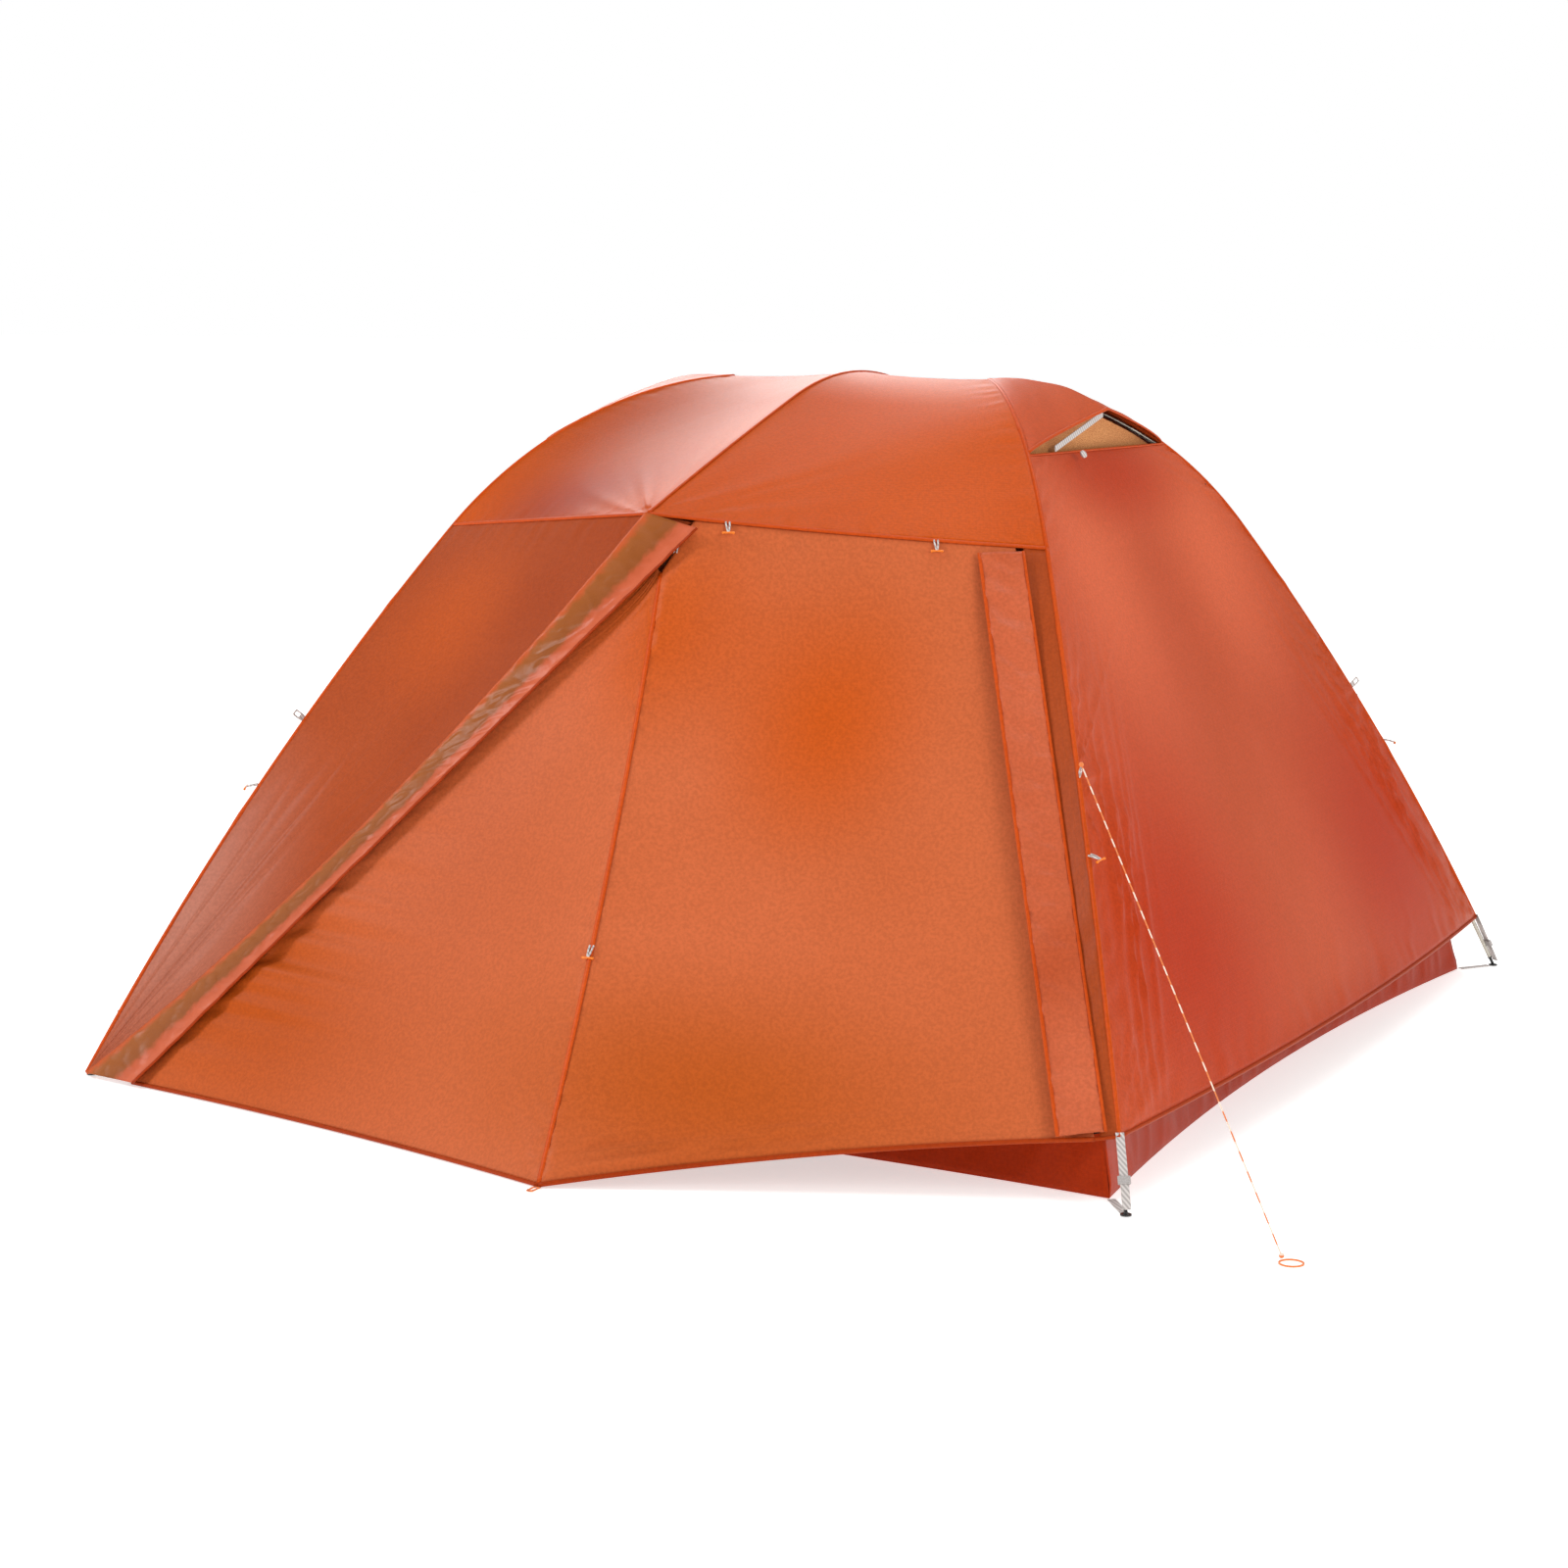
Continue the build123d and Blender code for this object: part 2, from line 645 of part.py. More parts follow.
def pole_clip(sx, sy, run):
    """A plastic clip snapped on a leg, with a tail down to the inner tent's seam."""
    centre = leg_point(sx, sy, run)
    lead = heading(centre, leg_point(sx, sy, run + 10))
    inward = heading(centre, leg_point(sx, sy, run, -10))
    tail = inner_inset - pole_d / 2 - 4
    with BuildPart() as clip:
        with BuildSketch(Plane(origin=centre, x_dir=inward, z_dir=lead)):
            Circle(pole_d / 2 + 2.2)
            with Locations((pole_d / 2 + tail / 2, 0)):
                Rectangle(tail, 3)
            Circle(pole_d / 2 + 0.3, mode=Mode.SUBTRACT)
        extrude(amount=6, both=True)
    return clip


clip_runs = (200.0, 560.0, 950.0, 1240.0)
save(group([pole_clip(sx, sy, run) for sx, sy in corners.values() for run in clip_runs]),
     "inner_tent_clips")

# ---------------------------------------------------------------- vents
strut_w = 12.0
strut_t = 1.6
strut_foot = move(wall_top(0.18), (0, 0, 8))
strut_head = move(hood_edge(0.5), (-6, -12, -11))


def flat_bar(p, q, face, width, thickness):
    """A flat bar from p to q whose broad side faces a direction."""
    lead = heading(p, q)
    out = (Vector(*face) - lead * lead.dot(Vector(*face))).normalized()
    length = distance(p, q)
    with BuildPart() as bar:
        with BuildSketch(Plane(origin=mix(p, q, 0.5), x_dir=lead, z_dir=out)):
            Rectangle(length, width)
        extrude(amount=thickness / 2, both=True)
    return bar


vent_strut = flat_bar(strut_foot, strut_head, (1, 0, 0), strut_w, strut_t)
save(vent_strut, "vent_strut_right")
save(twin(vent_strut, Plane.YZ), "vent_strut_left")

mesh_set_back = (-16, 0, -2)
vent_mesh = panel((lambda t: move(wall_top(0.06 + 0.88 * t), mesh_set_back),
                   lambda t: move(hood_edge(0.06 + 0.88 * t), (-26, 0, -12)),
                   straight(move(wall_top(0.06), mesh_set_back), move(hood_edge(0.06), (-26, 0, -12))),
                   straight(move(wall_top(0.94), mesh_set_back), move(hood_edge(0.94), (-26, 0, -12)))),
                  inner_skin, rows=13, gap=1.0)
save(group([vent_mesh, twin(vent_mesh, Plane.YZ)]), "vent_mesh")


# ---------------------------------------------------------------- corner straps and loops
def corner_foot(sx, sy, z):
    return (sx * foot_x, sy * foot_y, z)


foot_lead = heading(leg_point(1, -1, leg_stop_run - 10), leg_point(1, -1, leg_stop_run))
strap_top = leg_point(1, -1, hem_run - 4, seam_stand + 2)
strap_foot = move(leg_point(1, -1, leg_stop_run, seam_stand - 1), tuple(foot_lead), 20)
strap_lead = heading(strap_top, strap_foot)
strap_face = tuple(heading(leg_point(1, -1, hem_run), leg_point(1, -1, hem_run, 10)))


def floor_strap(sx, sy):
    p = (sx * (tray_x + 6), sy * (tray_y + 6), 2.0)
    q = corner_foot(sx, sy, 2.0)
    q = mix(p, q, 0.86)
    return flat_bar(p, q, (0, 0, 1), webbing_w, webbing_t)


fly_strap = flat_bar(strap_top, strap_foot, strap_face, webbing_w, webbing_t)
straps = [floor_strap(sx, sy) for sx, sy in corners.values()]
straps += [fly_strap, twin(fly_strap, Plane.XZ)]
save(group(straps), "corner_straps")


def grommet(sx, sy):
    """The ring that holds a foot tip at the end of a floor strap."""
    top, lead, drop = foot_axis(sx, sy)
    ball = top + lead * drop
    with BuildPart() as ring:
        with BuildSketch(Plane.XY.offset(1.2)):
            with Locations((ball.X, ball.Y)):
                Circle(10)
                Circle(tip_r + 2.4, mode=Mode.SUBTRACT)
        extrude(amount=2.4)
    return ring


save(group([grommet(sx, sy) for sx, sy in corners.values()]), "foot_grommets")

adjuster_at = 0.62
adjuster_room = 0.6


def adjuster():
    """A ladder buckle round the fly strap."""
    centre = mix(strap_top, strap_foot, adjuster_at)
    out = (Vector(*strap_face) - strap_lead * strap_lead.dot(Vector(*strap_face))).normalized()
    with BuildPart() as buckle:
        with BuildSketch(Plane(origin=centre, x_dir=out, z_dir=strap_lead)):
            RectangleRounded(webbing_t + 6, webbing_w + 7, 2)
            Rectangle(webbing_t + 2 * adjuster_room, webbing_w + 2 * adjuster_room,
                      mode=Mode.SUBTRACT)
        extrude(amount=7, both=True)
    return buckle


save_front_and_back(adjuster(), "strap_adjuster")


def guy_tab(sx, sy):
    """A webbing loop sewn into a leg seam; it stands out from the seam."""
    root = leg_point(sx, sy, guy_run, seam_stand + 3)
    tip = leg_point(sx, sy, guy_run, seam_stand + 3 + guy_loop)
    lead = heading(leg_point(sx, sy, guy_run), leg_point(sx, sy, guy_run + 10))
    with BuildPart() as tab:
        with BuildSketch(Plane(origin=mix(root, tip, 0.5), x_dir=heading(root, tip),
                               z_dir=heading(root, tip).cross(lead))):
            RectangleRounded(guy_loop, 14, 3)
            with Locations((guy_loop * 0.14, 0)):
                RectangleRounded(guy_loop * 0.48, 8, 2, mode=Mode.SUBTRACT)
        extrude(amount=webbing_t / 2, both=True)
    return tab


save(group([guy_tab(sx, sy) for sx, sy in corners.values()]), "guy_loops")

guy_anchor = (1400.0, -1340.0, 9.0)
guy_root = leg_point(1, -1, guy_run, seam_stand + guy_loop + 9)
with BuildPart() as guy_line:
    with BuildSketch(Plane(origin=guy_root, z_dir=heading(guy_root, guy_anchor))):
        Circle(line_d / 2)
    extrude(amount=distance(guy_root, guy_anchor))
save(guy_line, "guy_line")

knot_r = 4.6
with BuildPart() as guy_knots:
    with Locations(move(guy_root, tuple(heading(guy_root, guy_anchor)), -knot_r)):
        Sphere(knot_r)
    with Locations(move(guy_anchor, tuple(heading(guy_root, guy_anchor)), knot_r)):
        Sphere(knot_r)
    with BuildSketch(Plane.XY.offset(1.0)):
        with Locations(move(guy_anchor, (26, -24, -9))):
            Circle(21)
            Circle(21 - line_d, mode=Mode.SUBTRACT)
    extrude(amount=line_d)
save(guy_knots, "guy_line_knots")


def stake_loop(sy):
    """A webbing loop at the foot of the vestibule's centre seam, flat on the ground."""
    with BuildPart() as loop:
        with BuildSketch(Plane.XY.offset(1.0)):
            with Locations((stake_x, sy * (stake_y + 14))):
                RectangleRounded(14, 34, 5)
                RectangleRounded(7, 22, 3, mode=Mode.SUBTRACT)
        extrude(amount=webbing_t)
    return loop


save(group([stake_loop(-1), stake_loop(1)]), "stake_loops")

# ---------------------------------------------------------------- toggles
toggle_drop = 26.0
toggle_l = 24.0
toggle_r = 2.6
toggle_stand = 5.0          # loop in front of its seam


def toggle(root, lead, face):
    """A short webbing loop on a seam, lying along a direction, with a T bar at its end."""
    out = Vector(*face).normalized()
    lead = Vector(*lead)
    lead = (lead - out * lead.dot(out)).normalized()
    bar = out.cross(lead)
    start = move(root, tuple(out), toggle_stand)
    end = move(start, tuple(lead), toggle_drop)
    with BuildPart() as piece:
        with BuildSketch(Plane(origin=mix(start, end, 0.5), x_dir=lead, z_dir=out)):
            Rectangle(toggle_drop, 6)
        extrude(amount=0.8, both=True)
        with BuildSketch(Plane(origin=move(end, tuple(bar), -toggle_l / 2), z_dir=bar)):
            Circle(toggle_r)
        extrude(amount=toggle_l)
    return piece


down = (0, 0, -1)
roof_seam = straight(brow_end, seam_right, (0, 0, -4))
top_face = (0.44, -0.70, 0.56)
seam_face = (0.02, -0.85, 0.52)
toggle_top_left = toggle(roof_seam(0.2), down, top_face)
toggle_top_right = toggle(roof_seam(0.72), down, top_face)
toggle_middle = toggle(centre_seam(0.37), down, seam_face)
save(toggle_top_left, "toggle_top_left")
save(toggle_top_right, "toggle_top_right")
save(toggle_middle, "toggle_middle")

side_toggle_run = 1085.0


def side_toggle(sx):
    root = leg_point(sx, -1, side_toggle_run, seam_stand + 2)
    return toggle(root, (sx * 0.9, -0.2, -0.35), (sx * 0.3, -0.3, 0.9))


fixed_toggles = [side_toggle(1), side_toggle(-1)]
back_toggles = [toggle_top_left, toggle_top_right, toggle_middle] + fixed_toggles
save(group(fixed_toggles + [twin(piece, Plane.XZ) for piece in back_toggles]), "leg_toggles")
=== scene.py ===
from functools import partial
from math import asin, atan2, ceil, cos, exp, pi, radians, sin

import bpy
from mathutils import Matrix, Vector, noise


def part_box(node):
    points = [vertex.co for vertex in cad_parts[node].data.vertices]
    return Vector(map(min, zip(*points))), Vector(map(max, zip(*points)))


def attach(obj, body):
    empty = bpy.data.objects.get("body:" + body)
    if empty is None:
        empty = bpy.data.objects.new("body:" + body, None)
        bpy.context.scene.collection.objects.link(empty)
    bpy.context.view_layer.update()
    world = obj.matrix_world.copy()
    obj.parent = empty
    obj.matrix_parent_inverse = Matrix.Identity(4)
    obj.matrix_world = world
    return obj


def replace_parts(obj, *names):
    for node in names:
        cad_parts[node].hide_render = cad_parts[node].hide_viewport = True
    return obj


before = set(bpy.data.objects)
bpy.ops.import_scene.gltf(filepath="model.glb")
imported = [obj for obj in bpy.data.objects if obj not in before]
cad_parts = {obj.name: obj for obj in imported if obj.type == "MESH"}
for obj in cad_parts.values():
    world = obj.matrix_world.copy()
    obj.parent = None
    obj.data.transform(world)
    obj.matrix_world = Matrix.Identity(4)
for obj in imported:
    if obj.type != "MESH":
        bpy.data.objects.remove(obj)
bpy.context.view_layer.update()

# A free-standing frame tent with its fly closed. X runs along the ridge, the front vestibule
# faces -Y and Z is up. Every length is in metres.

# ---------------------------------------------------------------- the frame's sizes
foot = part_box("foot_grommets")[1]
foot_x, foot_y = foot[0] - 0.010, foot[1] - 0.010
hub_x = 0.298
ridge_z = 1.362
seam_stand = 0.012          # fly seam above a pole's centre line
cloth_t = 0.0008
leg_run = Vector((foot_x - hub_x, foot_y, 0)).length
foot_setback = 0.012
leg_end_z = 0.02404
brow_reach = 0.915
brow_top_z = 1.374
brow_end_z = 1.121
roof_seam_run = 0.652
vent_run = 0.440            # the vent hood's free edge
wall_run = vent_run + 0.008
hem_run = 1.386
hem_z = 0.005
stake = Vector((0.125, -1.533, hem_z))
tray_height = 0.130
halves = (1, "right"), (-1, "left")
vestibules = (-1, "front"), (1, "back")


def pole_arcs(start_slope, bend_slope, bend_run, total_run, top_z, end_z):
    """Two tangent arcs of a pre-bent pole."""
    a, b = radians(start_slope), radians(bend_slope)
    r1 = bend_run / (sin(b) - sin(a))
    bend_z = top_z - r1 * (cos(a) - cos(b))
    end = 2 * atan2(bend_z - end_z, total_run - bend_run) - b
    r2 = (total_run - bend_run) / (sin(end) - sin(b))
    return [(r1, a, b, 0.0, top_z), (r2, b, end, bend_run, bend_z)]


def arc_point(arcs, run, out=0.0):
    """Plan distance and height of a pole at a run, moved out along its normal."""
    radius, first, last, start, top = arcs[0] if run <= arcs[1][3] else arcs[1]
    turn = asin(max(-1.0, min(sin(last), sin(first) + (run - start) / radius)))
    z = top - radius * (cos(first) - cos(turn))
    return run + out * sin(turn), z + out * cos(turn)


leg_arcs = pole_arcs(3, 47.018, 0.660, leg_run - foot_setback, ridge_z, leg_end_z)
brow_arcs = pole_arcs(0, 17.5, 0.300, brow_reach, brow_top_z, brow_end_z)


def leg_point(sx, sy, run, out=0.0):
    reach, z = arc_point(leg_arcs, run, out)
    share = reach / leg_run
    return Vector((sx * (hub_x + (foot_x - hub_x) * share), sy * foot_y * share, z))


def brow_point(sy, run, out=0.0):
    reach, z = arc_point(brow_arcs, run, out)
    return Vector((0, sy * reach, z))


def straight(p, q, sag=(0, 0, 0)):
    """A seam from p to q, as a function of a share, that sags by a vector at its middle."""
    p, q, sag = Vector(p), Vector(q), Vector(sag)
    return lambda t: p.lerp(q, t) + sag * 4 * t * (1 - t)


def leg_seam(sx, sy, run_0, run_1, out=seam_stand):
    return lambda t: leg_point(sx, sy, run_0 + (run_1 - run_0) * t, out)


def shares(count):
    """Even shares from 0 to 1."""
    return [k / count for k in range(count + 1)]


def quarter(p, sx, sy):
    """A point of the front right quarter, or its mirror in another quarter."""
    return Vector((sx * p.x, -sy * p.y, p.z))


def flipped(seams, sx, sy):
    return tuple((lambda t, seam=seam: quarter(seam(t), sx, sy)) for seam in seams)


# ---------------------------------------------------------------- fly seams, front half
crossing = brow_point(-1, 0, seam_stand)
hub_top = Vector((hub_x, 0, leg_point(1, -1, 0, seam_stand).z))
brow_end = brow_point(-1, brow_reach, seam_stand)
seam_right = leg_point(1, -1, roof_seam_run, seam_stand)
seam_left = leg_point(-1, -1, roof_seam_run, seam_stand)
corner_right = leg_point(1, -1, hem_run, seam_stand)
corner_left = Vector((-foot_x - 0.004, -foot_y - 0.012, hem_z + 0.003))
fold_foot = corner_left + Vector((0.010, -0.010, 0))
fold = straight(brow_end, fold_foot, (-0.014, 0.008, -0.066))
roof_seam = straight(brow_end, seam_right, (0, 0, -0.004))


class Zip:
    """A straight zip: its ends, and the directions along it, across it and out of the cloth."""

    def __init__(self, top, foot_end):
        self.top, self.foot = Vector(top), Vector(foot_end)
        self.length = (self.foot - self.top).length
        self.along = (self.foot - self.top).normalized()
        out = self.along.cross((stake - self.top).normalized()).normalized()
        self.out = out if out.y < 0 else -out
        self.across = self.out.cross(self.along)

    def at(self, down, across=0.0, out=0.0):
        return self.top + self.along * down + self.across * across + self.out * out

    def line(self, across, out=0.0, first=0.0):
        return lambda t: self.at(self.length + (first - self.length) * t, across, out)


diagonal = Zip((0.080, -0.873, 1.112), (-0.968, -1.252, hem_z + 0.003))
upright = Zip(seam_right + Vector((-0.052, -0.034, -0.006)),
              corner_right + Vector((-0.034, -0.018, -0.004)))
zip_edge = 0.005            # cloth stops this far from a zip's middle
door_start = 0.07 * diagonal.length
door_seam_top = diagonal.at(door_start, 0.026)
centre_seam = straight(stake, door_seam_top, (0, 0.026, 0))
left_hem = straight(diagonal.at(diagonal.length, zip_edge), stake, (0.008, 0.020, 0))
right_hem = straight(stake, upright.at(upright.length, -zip_edge), (0, 0.012, 0.012))

# shares of the roof seam, and of the door's top edge where it turns along that seam
door_roof_start, door_roof_end, strip_roof_start = 0.12, 0.92, 0.94
door_turn = 0.12


def door_top(t):
    """The door's top edge: up beside the diagonal zip, then along the roof seam."""
    knee = roof_seam(door_roof_start)
    if t < door_turn:
        return door_seam_top.lerp(knee, t / door_turn)
    along = (t - door_turn) / (1 - door_turn)
    return roof_seam(door_roof_start + (door_roof_end - door_roof_start) * along)


def up_to(seam, end):
    """A seam whose top is drawn over to a given end."""
    shift = end - seam(1)
    return lambda t: seam(t) + shift * t ** 12


def low_leg_seam(t):
    """The left leg's seam, drawn down to the fly's corner on the ground."""
    last = leg_run - foot_setback
    run = last + (roof_seam_run - last) * t
    shift = corner_left - leg_point(-1, -1, last, seam_stand)
    return leg_point(-1, -1, run, seam_stand) + shift * (1 - t) ** 8


def hood_edge(t):
    """The vent hood's free edge, held up at its middle by the strut."""
    peak = (1 - abs(2 * t - 1)) ** 0.8
    p, q = leg_point(1, -1, vent_run, seam_stand), leg_point(1, 1, vent_run, seam_stand)
    return p.lerp(q, t) + Vector((0.020, 0, 0.078)) * peak


wall_top = straight(leg_point(1, -1, wall_run, seam_stand), leg_point(1, 1, wall_run, seam_stand))
end_hem = straight(corner_right, leg_point(1, 1, hem_run, seam_stand), (0.040, 0, 0))

# ---------------------------------------------------------------- materials
def linear(hex_colour):
    """An sRGB hex colour as linear RGBA."""
    parts = [int(hex_colour[i:i + 2], 16) / 255 for i in (1, 3, 5)]
    return [c / 12.92 if c < 0.04045 else ((c + 0.055) / 1.055) ** 2.4 for c in parts] + [1.0]


def node(tree, kind, settings=None, **links):
    """Adds a shader node. Settings are its properties; links are sockets, as values or as
    (node, output) pairs, with spaces in their names as underscores."""
    made = tree.nodes.new(kind)
    for key, value in (settings or {}).items():
        setattr(made, key, value)
    for key, value in links.items():
        name = key.replace("_", " ")
        socket = next(s for s in made.inputs if s.name == name and s.enabled) if name in made.inputs \
            else made.inputs[int(key[1:])]
        if isinstance(value, tuple) and isinstance(value[0], bpy.types.Node):
            tree.links.new(value[0].outputs[value[1]], socket)
        else:
            socket.default_value = value
    return made


def material(name, roughness, metallic=0.0, colour="#808080", **sockets):
    """A new material and its tree, surface and object coordinates."""
    made = bpy.data.materials.new(name)
    made.use_nodes = True
    tree = made.node_tree
    surface = next(n for n in tree.nodes if n.type == "BSDF_PRINCIPLED")
    surface.inputs["Base Color"].default_value = linear(colour)
    surface.inputs["Roughness"].default_value = roughness
    surface.inputs["Metallic"].default_value = metallic
    for key, value in sockets.items():
        surface.inputs[key.replace("_", " ")].default_value = value
    place = node(tree, "ShaderNodeTexCoord")
    return made, tree, surface, place


def ramp(tree, factor, stops):
    """A colour ramp over a factor; stops are (position, hex colour)."""
    made = node(tree, "ShaderNodeValToRGB", Fac=factor)
    band = made.color_ramp
    band.elements[0].position, band.elements[0].color = stops[0][0], linear(stops[0][1])
    band.elements[1].position, band.elements[1].color = stops[-1][0], linear(stops[-1][1])
    for position, colour in stops[1:-1]:
        band.elements.new(position).color = linear(colour)
    return made


def paint(tree, surface, factor, stops):
    """Colours a surface by a ramp over a factor."""
    shade = ramp(tree, factor, stops)
    tree.links.new(shade.outputs["Color"], surface.inputs["Base Color"])


def bump(tree, surface, height, strength, distance):
    made = node(tree, "ShaderNodeBump", Height=height, Strength=strength, Distance=distance)
    tree.links.new(made.outputs["Normal"], surface.inputs["Normal"])


def painted_light_mask(tree, place, centre, reach):
    """The mask of a patch of painted light: 1 at a place in the cloth, fading to 0 at its reach along
    each axis.
    """
    moved = node(tree, "ShaderNodeMapping", {"vector_type": "TEXTURE"}, Vector=(place, "Object"),
                 Location=centre, Scale=reach)
    ball = node(tree, "ShaderNodeTexGradient", {"gradient_type": "SPHERICAL"}, Vector=(moved, 0))
    return node(tree, "ShaderNodeMapRange", {"interpolation_type": "SMOOTHSTEP"},
                Value=(ball, "Fac"))


def fly_nylon(name, base, deep, painted_light_patches, roughness=0.42):
    """Silicone-coated ripstop nylon, woven and coated on one face: a satin skin. Light and shade are
    painted into its colour: deeper orange patches are painted shade, paler and pinker ones painted
    sheen where it catches a broad light. The real rip grid is 5 mm; it is drawn at 7 mm so that it
    shows."""
    made, tree, surface, place = material(name, roughness, colour=base, IOR=1.45,
                                          Specular_IOR_Level=0.11)
    cloud = node(tree, "ShaderNodeTexNoise", Vector=(place, "Object"), Scale=2.2, Detail=3.0)
    shade = ramp(tree, (cloud, "Fac"), [(0.30, deep), (0.72, base)])
    last = (shade, "Color")
    # Painted light: each patch's colour of painted shade or sheen is mixed into the base colour over
    # its mask.
    for centre, reach, colour in painted_light_patches:
        spot = painted_light_mask(tree, place, centre, reach)
        last = (node(tree, "ShaderNodeMix", {"data_type": "RGBA"}, i0=(spot, "Result"), i6=last,
                     i7=linear(colour)), 2)
    fine = node(tree, "ShaderNodeTexNoise", Vector=(place, "Object"), Scale=160.0, Detail=2.0)
    speck = ramp(tree, (fine, "Fac"), [(0.35, "#E9E9E9"), (0.65, "#FFFFFF")])
    worn = node(tree, "ShaderNodeMix", {"data_type": "RGBA", "blend_type": "MULTIPLY"}, i0=0.8,
                i6=last, i7=(speck, "Color"))
    tree.links.new(worn.outputs[2], surface.inputs["Base Color"])
    rip = node(tree, "ShaderNodeTexBrick", {"offset": 0.0}, Vector=(place, "UV"), Scale=1 / 0.007,
               Mortar_Size=0.09, Mortar_Smooth=0.6, Brick_Width=1.0, Row_Height=1.0)
    crepe = node(tree, "ShaderNodeTexNoise", Vector=(place, "Object"), Scale=38.0, Detail=4.0)
    height = node(tree, "ShaderNodeMath", {"operation": "MULTIPLY_ADD"}, i0=(crepe, "Fac"), i1=1.0,
                  i2=(rip, "Fac"))
    bump(tree, surface, (height, 0), 0.22, 0.0011)
    return made


def both_ends(*painted_light_patches):
    """Patches of painted light, each a centre, a reach along each axis and a colour, and their
    mirrors at the back."""
    return [p for c, reach, colour in painted_light_patches
            for p in ((c, reach, colour), ((c[0], -c[1], c[2]), reach, colour))]


# Painted light on the doors: deeper, saturated orange where the cloth shows no sheen, and darker low
# down where it lies in shade.
door_painted_light = both_ends(((0.05, -1.10, 0.95), (0.46, 0.42, 0.30), "#C55002"),
                         ((0.38, -1.02, 0.80), (0.26, 0.50, 0.34), "#C55002"),
                         ((-0.70, -1.30, 0.20), (0.62, 0.46, 0.44), "#B24A04"),
                         ((-0.30, -1.20, 0.60), (0.40, 0.40, 0.60), "#BC582C"),
                         ((0.30, -1.30, 0.14), (0.80, 0.40, 0.30), "#B85418"))
# Painted light on the end walls: painted shade low down, a painted shadow under the vent hood and a
# paler painted sheen high up.
wall_painted_light = []
for sx, _ in halves:
    wall_painted_light += both_ends(((sx * 0.95, -0.66, 0.34), (0.50, 0.66, 0.60), "#B43000"),
                              ((sx * 0.68, -0.34, 1.02), (0.42, 0.34, 0.42), "#D2603A"))
    wall_painted_light += [((sx * 0.60, 0.0, 1.20), (0.20, 0.50, 0.16), "#B43400"),
                     ((sx * 1.08, 0.1, 0.06), (0.30, 1.10, 0.16), "#AE3200")]
# Painted shade on the roof: darker patches on its left half.
roof_painted_light = both_ends(((-0.32, -0.30, 1.26), (0.50, 0.75, 0.50), "#A84208"),
                         ((-0.30, -0.66, 1.14), (0.36, 0.26, 0.20), "#A03400"))
# Painted light on the vestibule sides: a pale pinkish painted sheen low near the outer edge, and a
# brighter painted lit patch higher up.
side_painted_light = both_ends(((-0.98, -1.05, 0.30), (0.40, 0.60, 0.55), "#B06A54"),
                         ((-0.55, -0.85, 0.95), (0.30, 0.30, 0.30), "#BC5018"))
# Painted light: the fly is one nylon, but each panel's copy gets its own base colour for how light
# falls on it, paler and pinker where a lamp's sheen falls (doors, leg flap) and deeper where it lies
# in shade or shows no sheen (roof, hood, end walls, sides).
door_nylon = fly_nylon("coated_nylon_door", "#CC683E", "#C46034", door_painted_light)
wall_nylon = fly_nylon("coated_nylon_end_wall", "#C4522E", "#B84A22", wall_painted_light)
roof_nylon = fly_nylon("coated_nylon_roof", "#C85202", "#C04A00", roof_painted_light)
hood_nylon = fly_nylon("coated_nylon_hood", "#C4501E", "#BC4614", [])
side_nylon = fly_nylon("coated_nylon_side", "#AA4A20", "#A04014", side_painted_light, 0.36)
flap_nylon = fly_nylon("crinkled_nylon_flap", "#D06A46", "#B24A24", [], 0.38)
seam_nylon = fly_nylon("seam_binding_nylon", "#CC5016", "#BE4408", [], 0.40)
edge_nylon = fly_nylon("hem_nylon", "#A83C0C", "#983004", [], 0.45)
floor_nylon = fly_nylon("floor_nylon", "#B43404", "#A42C02", [], 0.40)


def storm_flap_nylon():
    """The flap over the diagonal zip, with painted shade and sheen: olive brown where it lies doubled
    in shade, paler and pinker along its loose crinkled border where the light catches it."""
    made, tree, surface, place = material("storm_flap_nylon", 0.4, colour="#8E4C1C",
                                          Specular_IOR_Level=0.25)
    share = node(tree, "ShaderNodeUVMap", {"uv_map": "share"})
    across = node(tree, "ShaderNodeSeparateXYZ", Vector=(share, "UV"))
    rough = node(tree, "ShaderNodeTexNoise", Vector=(place, "Object"), Scale=60.0, Detail=4.0)
    wander = node(tree, "ShaderNodeMath", {"operation": "MULTIPLY_ADD"}, i0=(rough, "Fac"), i1=0.24,
                  i2=(across, "X"))
    paint(tree, surface, (wander, 0), [(0.16, "#B85022"), (0.30, "#94501C"), (0.70, "#8A4818"),
                                       (0.82, "#B4522E"), (1.0, "#C05C3A")])
    bump(tree, surface, (rough, "Fac"), 0.5, 0.002)
    return made


storm_nylon = storm_flap_nylon()


def inner_polyester():
    """Uncoated breathable polyester: pale, matt and slightly fuzzy."""
    made, tree, surface, place = material("inner_polyester", 0.85, colour="#D8CCBC", Sheen_Weight=0.3)
    weave = node(tree, "ShaderNodeTexNoise", Vector=(place, "Object"), Scale=420.0)
    bump(tree, surface, (weave, "Fac"), 0.2, 0.0004)
    return made


def vent_netting():
    """Knitted polyester net, 1 mm holes, drawn at 3 mm so that the net shows."""
    made, tree, surface, place = material("vent_netting", 0.8, colour="#C8804A")
    cells = node(tree, "ShaderNodeTexVoronoi", {"feature": "DISTANCE_TO_EDGE"},
                 Vector=(place, "Object"), Scale=1 / 0.003)
    paint(tree, surface, (cells, "Distance"), [(0.05, "#D69658"), (0.22, "#A85A26")])
    bump(tree, surface, (cells, "Distance"), 0.4, 0.0006)
    return made


